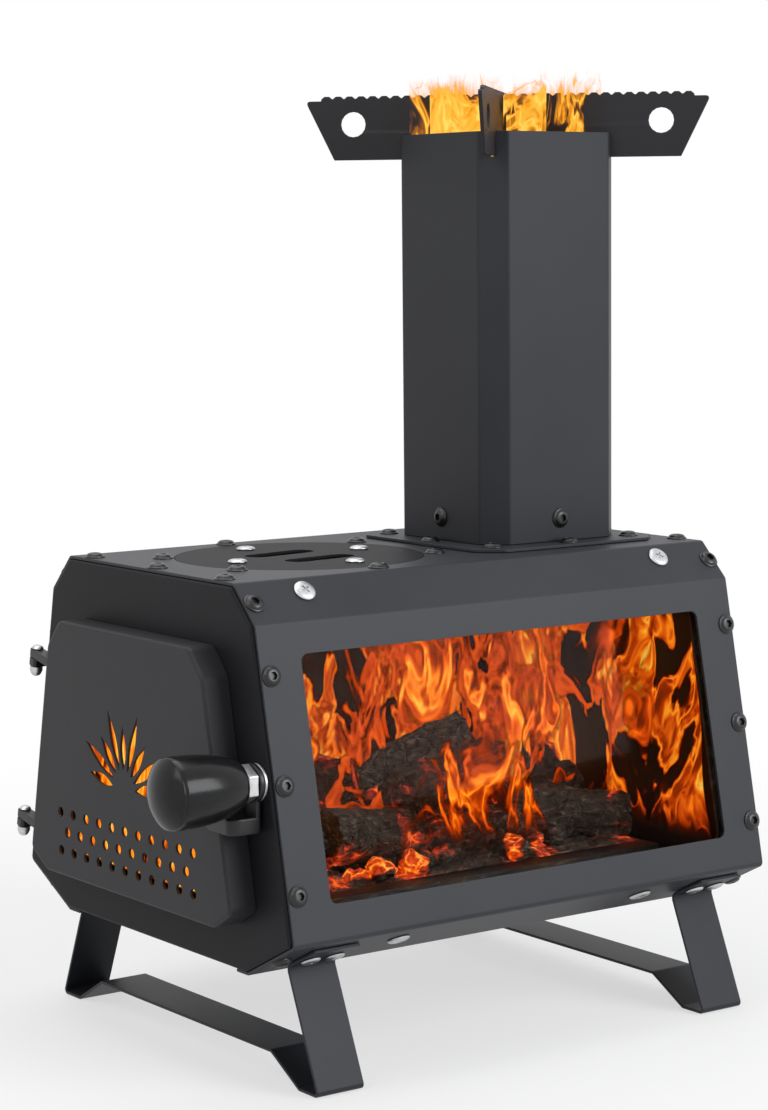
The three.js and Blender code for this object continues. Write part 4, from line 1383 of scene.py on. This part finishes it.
@dataclass
class Flue:
    """Square tube with cut corners, its collar and the crossed pot rack."""

    side: float = 90.0
    chamfer: float = 11.6
    height: float = 214.0
    base: float = SHEET + 2 * GAP
    collar: float = 120.0
    collar_chamfer: float = 12.0
    notch: tuple[float, float] = (2.6, 13.0)
    bend: float = 2.6
    upstand: float = 22.5
    collar_screws: tuple[float, float] = (52.0, 46.0)
    button_rise: float = 12.0
    rack_edge: float = 0.25

    def square(self, centre_y: float = 0.0, inset: float = 0.0, centre_x: float = FLUE_X) -> list[Vector]:
        """The tube's outline, drawn in.

        Args:
            centre_y: its middle's second coordinate.
            inset: how far it is drawn in.
            centre_x: its middle's first coordinate.

        Returns:
            Eight corners, anticlockwise.
        """
        centre = Vector((centre_x, centre_y))
        return [p + centre for p in moved_in(cut_square(self.side, self.chamfer), inset)]

    def build(self) -> None:
        """Make the collar, the tube and their screws, and dress the rack."""
        self.collar_piece()
        self.tube()
        reach, corner = self.collar_screws
        spots = [(-reach, 0), (reach, 0), (0, -reach), (0, reach), (-corner, -corner), (-corner, corner),
                 (corner, -corner), (corner, corner)]
        places = [Matrix.Translation((FLUE_X + x, y, BODY_TOP + GAP + SHEET)) for x, y in spots]
        Piece("collar_screws", Body.FIREBOX, "oxide", edge=0).deliver(repeated(button_head(), places))
        for i in range(4):
            out = Matrix.Translation((self.side / 2 + SEATED, 0, self.base + self.button_rise))
            place = Matrix.Translation((FLUE_X, 0, BODY_TOP)) @ Matrix.Rotation(math.pi / 2 * i, 4, "Z") @ out
            place @= Matrix.Rotation(math.pi / 2, 4, "Y")
            set_screw(f"flue_button_{i + 1}", f"chimney_screw_{i + 1}", button_head(), place, "oxide")
        for node in ("rack_plate_lower", "rack_plate_upper"):
            dress(node, "rack")
            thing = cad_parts[node]
            thing.modifiers.new("weld", "WELD").merge_threshold = 1e-6
            soften(thing, self.rack_edge)

    def tube(self) -> None:
        """Fold the tube from a flat blank with its notches cut in the top edge."""
        corners = cut_square(self.side, self.chamfer)
        start = (corners[4] + corners[3]) / 2
        path = FoldPath([start, *corners[4:], *corners[:4], start], self.bend)
        wide, deep = self.notch
        outline = flat((0, 0), (0, path.length), (self.height, path.length))
        centres = [path.middles[i] for i in (7, 5, 3, 1)]
        for centre in centres:
            outline += flat((self.height, centre + wide / 2), (self.height - deep, centre + wide / 2),
                            (self.height - deep, centre - wide / 2), (self.height, centre - wide / 2))
        outline += flat((self.height, 0))
        sheet = Blank(outline[::-1]).fill().fold(path)
        upright = Matrix(((0, 1, 0, 0), (0, 0, 1, 0), (1, 0, 0, 0), (0, 0, 0, 1)))
        bmesh.ops.transform(sheet, matrix=upright, verts=sheet.verts[:])
        bmesh.ops.remove_doubles(sheet, verts=sheet.verts[:], dist=0.01)
        place = Matrix.Translation((FLUE_X, 0, BODY_TOP + self.base))
        Piece("flue_tube", Body.FIREBOX, "flue", ("chimney_tube",), SHEET, 0.2).deliver(sheet, place)

    def collar_piece(self) -> None:
        """Make the collar's flange with its upstand inside the tube."""
        inside = self.square(0.0, SHEET + GAP, 0.0)
        blank = Blank(cut_square(self.collar, self.collar_chamfer), 1.0)
        blank.polygon(inside)
        flange = blank.fill().plate()
        place = Matrix.Translation((FLUE_X, 0, BODY_TOP + GAP + SHEET))
        Piece("collar_flange", Body.FIREBOX, "coat", ("chimney_collar",), SHEET, 0.2).deliver(flange, place)
        upstand = bmesh.new()
        ring = [upstand.verts.new((p.x, p.y, 0)) for p in inside]
        loop = [upstand.edges.new((a, b)) for a, b in zip(ring, ring[1:] + ring[:1])]
        grown = bmesh.ops.extrude_edge_only(upstand, edges=loop)["geom"]
        rise = [g for g in grown if isinstance(g, bmesh.types.BMVert)]
        bmesh.ops.translate(upstand, verts=rise, vec=(0, 0, self.upstand))
        bmesh.ops.recalc_face_normals(upstand, faces=upstand.faces[:])
        Piece("collar_upstand", Body.FIREBOX, "coat", (), SHEET, 0.2).deliver(upstand, place)


@dataclass
class Door:
    """The pressed door with its air holes and its fan of slots."""

    depth: float = 15.0
    bottom: tuple[float, float] = (81.0, 79.5)
    hip_z: float = 89.0
    shoulder: tuple[float, float] = (75.0, 199.0)
    top: tuple[float, float] = (63.0, 212.5)
    overlap: float = 8.0
    vent_radius: float = 2.6
    vent_pitch: float = 12.8
    vent_rows: tuple[tuple[float, int], ...] = ((113.0, 11), (103.0, 10), (93.0, 11))
    fan_z: float = 133.0
    rays: int = 9
    sweep: float = 160.0
    ray_start: float = 11.0
    ray_lengths: tuple[float, float] = (22.0, 31.0)
    ray_width: float = 5.4
    bend: float = 1.9
    corner: float = 1.6

    def side(self, z: float) -> float:
        """Half the door's width between its lower and upper corners."""
        return self.shoulder[0] + (self.shoulder[1] - z) * math.tan(TILT)

    def outline(self) -> list[Vector]:
        """The door's corners, anticlockwise in (y, z)."""
        return both_sides(flat(self.bottom, (self.side(self.hip_z), self.hip_z), self.shoulder, self.top))

    def build(self) -> None:
        """Press the door and cut its openings."""
        blank = Blank(moved_in(self.outline(), self.bend), self.corner)
        for z, count in self.vent_rows:
            for i in range(count):
                blank.hole((i - (count - 1) / 2) * self.vent_pitch, z, self.vent_radius, 20)
        for i in range(self.rays):
            self.ray(blank, i)
        sheet = stood_up(blank.fill().flanged(self.bend, self.depth - GAP), -1)
        place = Matrix.Translation((DOOR_END - self.depth, 0, 0))
        Piece("door_pressed", Body.DOOR, "door", ("door_pan",), SHEET, 0.2).deliver(sheet, place)

    def ray(self, blank: Blank, index: int) -> None:
        """Cut one leaf-shaped slot.

        Args:
            blank: the door's blank.
            index: which ray, from one side to the other.
        """
        angle = math.radians(-self.sweep / 2 + self.sweep * index / (self.rays - 1))
        length = self.ray_lengths[index % 2]
        swell = [0.0, 0.5, 0.86, 1.0, 0.93, 0.68, 0.34, 0.0]
        half = self.ray_width * 0.5
        steps = len(swell) - 1
        right = [Vector((half * w, self.ray_start + length * k / steps)) for k, w in enumerate(swell)]
        left = [Vector((-p.x, p.y)) for p in right[1:-1]][::-1]
        turn = Matrix.Rotation(-angle, 2)
        blank.polygon([turn @ p + Vector((0, self.fan_z)) for p in right + left])


@dataclass
class Hinges:
    """Two hinges on one leaning axis at the back of the door."""

    heights: tuple[tuple[str, float], ...] = (("upper", 189.0), ("lower", 101.0))
    reach: float = 8.0
    inset: float = 5.5
    lug_radius: float = 3.3
    lug: float = 4.4
    eye: float = 2.0
    corner: float = 1.9
    edge: float = 0.4

    def knuckle(self, reach: float, along_body: bool) -> bmesh.types.BMesh:
        """Cut and thicken one lug.

        Args:
            reach: from the pin to the arm's end.
            along_body: whether the arm runs to the firebox, or else to the door.

        Returns:
            The lug, standing on Z 0.
        """
        r = self.lug_radius
        outline = rectangle(-r, -r, reach, r) if along_body else rectangle(-r, -reach, r, r)
        blank = Blank(outline, self.corner)
        blank.hole(0, 0, self.eye)
        face = blank.fill().plate()
        bmesh.ops.translate(face, verts=face.verts[:], vec=(0, 0, self.lug))
        return face

    def build(self) -> None:
        """Make the lugs and pins of both hinges."""
        half = self.lug + GAP / 2
        for level, z in self.heights:
            y = SECTION.half_width(z) - self.inset
            place = Matrix.Translation((DOOR_END - self.reach, y, z)) @ Matrix.Rotation(TILT, 4, "X")
            to_door = (y - Door().side(z)) * math.cos(TILT) - GAP
            for side, body, reach, foot in (("door", Body.DOOR, to_door, GAP / 2),
                                            ("body", Body.FIREBOX, self.reach - GAP, -half)):
                node = (f"{side}_lug_{level}",)
                knuckle = Piece(f"{side}_knuckle_{level}", body, "lug", node, self.lug, self.edge)
                knuckle.deliver(self.knuckle(reach, side == "body"), place @ Matrix.Translation((0, 0, foot)))
            pin = self.pin(-half - GAP, half + GAP)
            set_screw(f"hinge_stud_{level}", f"hinge_pin_{level}", pin, place)

    def pin(self, low: float, high: float) -> bmesh.types.BMesh:
        """Turn one pin with a dome nut under the lugs and a head over them.

        Args:
            low: the nut's upper face.
            high: the head's lower face.

        Returns:
            The pin.
        """
        nut = [(0, 5.4), (1.2, 5.25), (2.2, 4.6), (2.85, 3.6), (3.0, 2.6), (3.3, 2.5), (3.3, 0), (1.7, 0)]
        head = [(1.7, 0), (2.9, 0), (3.0, 0.3), (2.6, 1.0), (1.6, 1.5), (0, 1.6)]
        return turned([(r, low - drop) for r, drop in nut] + [(r, high + rise) for r, rise in head], 28)


@dataclass
class Latch:
    """Knob, nut, hooked arm and washer on one bolt."""

    z: float = 151.3
    inset: float = 11.7
    washer: tuple[float, float] = (9.2, 1.5)
    hub: float = 9.5
    hub_reach: float = 148.0
    arm: tuple[float, float] = (10.0, 15.5)
    arm_thick: float = 2.5
    hook: tuple[float, float] = (3.0, 8.0)
    hook_bend: float = 6.0
    finger: float = 9.0
    nut: tuple[float, float] = (16.6, 5.5)
    bore: float = 5.1
    bore_depth: float = 12.0
    knob_length: float = 46.0
    knob_neck: float = 10.4
    knob_radius: float = 17.4
    knob_crown: float = 6.5

    def build(self) -> None:
        """Make everything that turns with the knob."""
        y = self.inset - SECTION.half_width(self.z)
        place = Matrix.Translation((DOOR_END, y, self.z)) @ Matrix.Rotation(-math.pi / 2, 4, "Y")
        arm_z = GAP + self.washer[1] + GAP
        nut_z = arm_z + self.arm_thick + GAP
        knob_z = nut_z + self.nut[1] + GAP
        radius, thick = self.washer
        ring = turned_ring(self.bore, radius, GAP, GAP + thick, 48)
        Piece("washer_turned", Body.LATCH, "bright", ("latch_washer",), edge=0.35).deliver(ring, place)
        self.arm_piece(place, arm_z, y)
        blank = Blank(arc(self.nut[0] / 2 / math.cos(math.pi / 6), 6))
        blank.hole(0, 0, self.bore, 32)
        face = blank.fill().plate()
        bmesh.ops.translate(face, verts=face.verts[:], vec=(0, 0, nut_z + self.nut[1]))
        Piece("nut_hex", Body.LATCH, "bright", ("latch_nut",), self.nut[1], 0.5).deliver(face, place)
        self.knob(place, knob_z)
        dress("latch_bolt", "bright")

    def arm_piece(self, place: Matrix, arm_z: float, y: float) -> None:
        """Cut the arm and its hook over the door's edge.

        Args:
            place: the latch's frame, with Z out of the door end.
            arm_z: the arm's inner face.
            y: the bolt's place across the firebox.
        """
        wide, drop = self.arm
        thick, tall = self.hook
        low = -drop - tall
        outline = arc(self.hub, 40, math.radians(-self.hub_reach), math.radians(2 * self.hub_reach))
        outline += flat((low + 1, wide / 2), (low, wide / 2 - 1), (low, 1 - wide / 2), (low + 1, -wide / 2))
        blank = Blank(outline)
        blank.hole(0, 0, self.bore, 32)
        face = blank.fill().plate()
        bmesh.ops.translate(face, verts=face.verts[:], vec=(0, 0, arm_z + self.arm_thick))
        Piece("arm_plate", Body.LATCH, "lug", ("latch_arm",), self.arm_thick, 0.5).deliver(face, place)
        out = Door().depth + GAP + thick
        tip = self.finger - Door().side(self.z + low) - y - 2 * GAP
        path = FoldPath(flat((tip, out), (-wide / 2, out), (-wide / 2, arm_z)), self.hook_bend)
        radius = tall / 2
        tongue = [Vector((low + radius, radius)) + p for p in arc(radius, 16, math.pi, math.pi)]
        tongue += flat((-drop, path.length), (low, path.length))
        hook = Blank(tongue).fill().fold(path)
        Piece("arm_hook", Body.LATCH, "lug", (), thick, 0.9).deliver(hook, place)

    def knob(self, place: Matrix, base: float) -> None:
        """Turn the knob.

        Args:
            place: the latch's frame.
            base: the knob's foot over the plate.
        """
        neck, full, crown = self.knob_neck, self.knob_radius, self.knob_crown
        rim = self.knob_length - crown
        swell = [(0.0, 0.6), (0.18, 1.4), (0.37, 4.6), (0.6, 9.2), (0.75, 13.8), (0.86, 18.4), (0.94, 23.4),
                 (0.98, 28.5), (1.0, 33.5), (1.0, rim - 2.8), (0.985, rim - 0.9)]
        dome = [(0.94, 0.14), (0.86, 0.32), (0.74, 0.52), (0.58, 0.72), (0.38, 0.88), (0.18, 0.97), (0, 1.0)]
        deep, brow = base + self.bore_depth, base + rim
        profile = [(0, deep), (self.bore, deep), (self.bore, base + 0.5), (self.bore, base)]
        profile += [(neck - 0.7, base)]
        profile += [(neck + (full - neck) * share, base + height) for share, height in swell]
        profile += [(full - 0.6, brow - 0.45), (full - 0.75, brow), (full - 0.45, brow + 0.4)]
        profile += [(full * share, brow + crown * height) for share, height in dome]
        knob = Piece("knob_turned", Body.LATCH, "knob", ("knob",), edge=0, smooth_angle=60)
        round_off = knob.deliver(turned(profile, 64), place).modifiers.new("round", "SUBSURF")
        round_off.levels = 1
        round_off.render_levels = 1


@dataclass
class Fire:
    """Logs, embers and flames on the grate, seen through the window and the door's holes."""

    bed_z: float = 82.0
    bed_reach: tuple[float, float] = (118.0, 62.0)
    bed_edge: float = 16.0
    lumps: int = 52
    lump_x: float = 108.0
    lump_y: tuple[float, float] = (-60.0, 40.0)
    lump_size: tuple[float, float] = (5.0, 10.0)
    chance: random.Random = field(default_factory=lambda: random.Random(7))
    reach: tuple[float, float] = (84.0, 203.5)
    sway: float = 6.0
    plume: tuple[float, float] = (418.0, 494.0)
    plume_rows: tuple[float, ...] = (-33.0, -20.0, -7.0, 8.0, 22.0)
    plume_reach: float = 58.0
    plume_gap: float = 2.5
    plume_sway: float = 2.5
    plume_seed: float = 80.0
    logs: tuple[tuple[float, ...], ...] = (
        (-62, 8, 97, 112, 16, 6, 3), (54, 0, 98, 124, 18, -7, -4), (-10, -36, 98, 128, 15, 5, 6),
        (10, 42, 99, 140, 16, -3, 2), (-86, -38, 97, 62, 14, 22, -9), (84, -38, 98, 72, 15, -16, 8),
        (34, -14, 126, 112, 14, 19, -9), (-40, 10, 124, 100, 13, -26, 10), (92, 6, 120, 60, 13, 34, 12),
        (-4, -20, 138, 66, 10, -12, -18))
    curtains: tuple[tuple[str, str, tuple[float, float], tuple[float, float], int], ...] = (
        ("flames_front", "flame_near", (-124, -66), (134, -66), 11),
        ("flames_middle", "flame_middle", (-126, -20), (136, -20), 23),
        ("flames_back", "flame_far", (-126, 32), (136, 32), 37),
        ("flames_flue_end", "flame_flue_end", (141, -96), (141, 88), 51),
        ("flames_door_end", "flame_door_end", (-142, -92), (-142, 98), 67))

    def build(self) -> None:
        """Lay the fire."""
        for i, spec in enumerate(self.logs, 1):
            self.log(i, *spec)
        self.bed()
        for spec in self.curtains:
            self.curtain(*spec)
        self.mouth()

    def log(self, index: int, x: float, y: float, z: float, length: float, radius: float, yaw: float,
            pitch: float) -> None:
        """Lay one charred log.

        Args:
            index: its number.
            x: its middle along the firebox.
            y: its middle across.
            z: its middle's height.
            length: from end to end.
            radius: its radius.
            yaw: turn about Z in degrees.
            pitch: tilt in degrees.
        """
        bm = bmesh.new()
        bmesh.ops.create_cone(bm, cap_ends=True, cap_tris=False, segments=28, radius1=radius,
                              radius2=radius * 0.9, depth=length)
        sides = [e for e in bm.edges if abs(e.verts[0].co.z - e.verts[1].co.z) > 1]
        bmesh.ops.subdivide_edges(bm, edges=sides, cuts=30, use_grid_fill=True)
        for vert in bm.verts:
            grain = Vector((vert.co.x * 1.6, vert.co.y * 1.6, vert.co.z * 0.45)) * 0.09
            where = grain + Vector((index * 9.1, 0, 0))
            rough = noise.fractal(where, 0.7, 2.1, 4)
            crack = abs(noise.noise(where * 2.7))
            scale = 1 + 0.16 * rough - 0.1 * (1 - min(crack * 4, 1))
            vert.co.x *= scale
            vert.co.y *= scale
        turn = Matrix.Rotation(math.radians(yaw), 4, "Z") @ Matrix.Rotation(math.radians(90 + pitch), 4, "Y")
        place = Matrix.Translation((x, y, z)) @ turn
        Piece(f"charred_log_{index}", Body.GRATE, "char", edge=0, smooth_angle=35).deliver(bm, place)

    def bed(self) -> None:
        """Heap the embers on the grate."""
        bm = bmesh.new()
        long, wide = self.bed_reach
        bmesh.ops.create_grid(bm, x_segments=110, y_segments=56, size=1.0)
        bmesh.ops.scale(bm, vec=(long, wide, 1), verts=bm.verts[:])
        for vert in bm.verts:
            edge = min(1, (long - abs(vert.co.x)) / self.bed_edge, (wide - abs(vert.co.y)) / self.bed_edge)
            where = Vector((vert.co.x, vert.co.y, 0)) * 0.075
            lumps = max(0.0, noise.fractal(where, 0.8, 2.0, 4) + 0.55)
            vert.co.z = self.bed_z + max(edge, 0) * (2 + 8 * lumps)
        for _ in range(self.lumps):
            self.lump(bm)
        Piece("ember_heap", Body.GRATE, "embers", edge=0, smooth_angle=60).deliver(bm)

    def lump(self, bm: bmesh.types.BMesh) -> None:
        """Drop one lump of charcoal on the heap.

        Args:
            bm: the heap.
        """
        size = self.chance.uniform(*self.lump_size)
        x, y = self.chance.uniform(-self.lump_x, self.lump_x), self.chance.uniform(*self.lump_y)
        middle = Vector((x, y, self.bed_z + size * 0.9))
        turn = Matrix.Rotation(self.chance.uniform(0, math.pi), 3, "Z")
        for vert in bmesh.ops.create_icosphere(bm, subdivisions=3, radius=1.0)["verts"]:
            dent = noise.noise(vert.co * 1.3 + middle) * 0.4 + noise.noise(vert.co * 3.1 + middle) * 0.2
            vert.co = turn @ (vert.co * size * (1 + dent) * Vector((1.5, 0.9, 0.75))) + middle

    def curtain(self, name: str, finish: str, first: tuple[float, float], last: tuple[float, float],
                seed: int) -> None:
        """Stand a curtain of flame on the grate.

        Args:
            name: the piece.
            finish: its flames.
            first: its foot's one end in (x, y).
            last: its foot's other end.
            seed: what its waves start from.
        """
        bm = bmesh.new()
        bmesh.ops.create_grid(bm, x_segments=48, y_segments=20, size=1.0)
        start, end = Vector(first), Vector(last)
        side = (end - start).normalized().orthogonal()
        low, high = self.reach
        for vert in bm.verts:
            foot = start.lerp(end, (vert.co.x + 1) / 2)
            z = low + (vert.co.y + 1) / 2 * (high - low)
            foot.y *= SECTION.half_width(z) / SECTION.half_width(low)
            wave = Vector((foot.x * 0.02, foot.y * 0.02 + z * 0.012, seed))
            sway = self.sway * noise.noise(wave)
            vert.co = (*(foot + side * sway), z)
        Piece(name, Body.GRATE, finish, edge=0).deliver(bm)

    def mouth(self) -> None:
        """Let short flames lick out of the flue between the crossed rack plates."""
        wide, deep = Vector((1, -1)).normalized(), Vector((1, 1)).normalized()
        for name, along, across in (("flames_mouth_wide", wide, deep), ("flames_mouth_deep", deep, wide)):
            bm = bmesh.new()
            for off in self.plume_rows:
                for side in (-1, 1):
                    self.plume_sheet(bm, along * side, across, off)
            Piece(name, Body.FIREBOX, "flame_mouth", edge=0).deliver(bm)

    def plume_sheet(self, bm: bmesh.types.BMesh, along: Vector, across: Vector, off: float) -> None:
        """Stand one sheet of flame in one quarter of the flue.

        Args:
            bm: the sheets so far.
            along: which way it runs from the middle.
            across: which way it is set off.
            off: how far it is set off.
        """
        low, high = self.plume
        reach = self.plume_reach - abs(off)
        for vert in bmesh.ops.create_grid(bm, x_segments=24, y_segments=20, size=1.0)["verts"]:
            z = low + (vert.co.y + 1) / 2 * (high - low)
            foot = along * (self.plume_gap + (vert.co.x + 1) / 2 * (reach - self.plume_gap))
            sway = self.plume_sway * noise.noise(Vector((foot.x * 0.05, z * 0.03, self.plume_seed + off)))
            vert.co = (*(Vector((FLUE_X, 0)) + foot + across * (off + sway)), z)


@dataclass
class Studio:
    """Camera, lamps, world and floor."""

    eye: tuple[float, float, float] = (-880.9, -1222.3, 407.1)
    heading: float = 35.64
    pitch: float = 6.34
    roll: float = -0.51
    lens: float = 93.54
    veil: float = 0.62
    clearing: tuple[float, float] = (0.2, 0.85)
    around: float = 0.35
    floor_size: float = 6.0
    floor_drop: float = 0.0005
    target: tuple[float, float, float] = (0, 0, 200)
    lamps: tuple[tuple, ...] = (
        ("key", (750, -1650, 900), 1100, 25.0, (0.95, 0.975, 1)),
        ("fill", (-1300, -200, 1300), 900, 6.0, (1, 0.98, 1)),
        ("top", (0, 300, 1700), 1200, 10.0, (1, 1, 1)))

    def build(self) -> None:
        """Set up the camera, the light and the floor."""
        self.camera()
        for spec in self.lamps:
            self.lamp(*spec)
        self.world()
        self.floor()

    def camera(self) -> None:
        """Stand the camera where the photograph was taken from."""
        psi, theta, rho = (math.radians(a) for a in (self.heading, self.pitch, self.roll))
        ahead = Vector((math.sin(psi) * math.cos(theta), math.cos(psi) * math.cos(theta), -math.sin(theta)))
        right = Vector((math.cos(psi), -math.sin(psi), 0))
        up = right.cross(ahead)
        right, up = right * math.cos(rho) + up * math.sin(rho), up * math.cos(rho) - right * math.sin(rho)
        data = bpy.data.cameras.new("camera")
        data.lens = self.lens
        data.sensor_width = 36
        data.sensor_fit = "AUTO"
        data.clip_end = 50
        camera = placed("camera", data)
        turn = Matrix((right, up, -ahead)).transposed().to_4x4()
        camera.matrix_world = Matrix.Translation(TO_FRAME @ Vector(self.eye)) @ turn
        bpy.context.scene.camera = camera

    def lamp(self, name: str, where: Sequence[float], size: float, watts: float,
             colour: Sequence[float]) -> None:
        """Hang one soft lamp that faces the stove.

        Args:
            name: the lamp.
            where: its place.
            size: its side.
            watts: its power.
            colour: its colour.
        """
        data = bpy.data.lights.new(name, "AREA")
        data.size = size * MM
        data.energy = watts
        data.color = colour
        spot = TO_FRAME @ Vector(where)
        aim = TO_FRAME @ Vector(self.target) - spot
        turn = aim.to_track_quat("-Z", "Y").to_matrix().to_4x4()
        placed(name, data).matrix_world = Matrix.Translation(spot) @ turn

    def seen(self, graph: Graph) -> Value:
        """Find the rays that come from the camera, straight or by way of a mirror or glass.

        Args:
            graph: where the nodes go.

        Returns:
            1 for such a ray, or else 0.
        """
        path = graph.node("ShaderNodeLightPath").outputs
        return graph.either(graph.either(path["Is Camera Ray"], path["Is Glossy Ray"]),
                            path["Is Transmission Ray"])

    def shine(self, graph: Graph, factor: Value, kind: str) -> None:
        """Mix a white light into what a material or world starts with.

        Args:
            graph: its nodes.
            factor: how much of the light shows.
            kind: the light's shader.
        """
        light = graph.node(kind, None, {"Color": WHITE, "Strength": 1.0})
        mixed = graph.node("ShaderNodeMixShader", None,
                           {0: factor, 1: graph.surface.outputs[0], 2: light.outputs[0]})
        graph.feed(graph.output, {"Surface": mixed.outputs[0]})

    def world(self) -> None:
        """Surround the stove with even light and a white background."""
        graph = Graph(bpy.data.worlds.new("studio"))
        bpy.context.scene.world = graph.owner
        graph.feed(graph.surface, {"Color": WHITE, "Strength": self.around})
        self.shine(graph, self.seen(graph), "ShaderNodeBackground")

    def floor(self) -> None:
        """Lay a plain pale floor that takes the stove's shadow."""
        bm = bmesh.new()
        bmesh.ops.create_grid(bm, x_segments=1, y_segments=1, size=self.floor_size)
        mesh = meshed("floor", bm)
        graph = Graph(bpy.data.materials.new("pale_floor"))
        pale = {"Base Color": (0.88, 0.88, 0.88, 1), "Roughness": 0.6, "Specular IOR Level": 0.1}
        graph.feed(graph.surface, pale)
        away = Value(graph, graph.node("ShaderNodeVectorMath", {"operation": "LENGTH"},
                                       {0: graph.place((1, 1, 0))}).outputs["Value"])
        clear = graph.between(away, *self.clearing) * (1 - self.veil) + self.veil
        self.shine(graph, self.seen(graph) * clear, "ShaderNodeEmission")
        mesh.materials.append(graph.owner)
        floor = placed("floor", mesh)
        floor.location.z = -self.floor_drop


def main() -> None:
    """Build the stove's looks."""
    logging.basicConfig(level=logging.INFO, format="%(name)s: %(message)s")
    bpy.context.scene.view_settings.view_transform = "Standard"
    for group in (Studio(), Firebox(), Legs(), CookingLid(), Flue(), Door(), Hinges(), Latch(), Fire()):
        group.build()
        LOG.info("built %s", type(group).__name__)


if __name__ == "__main__":
    main()
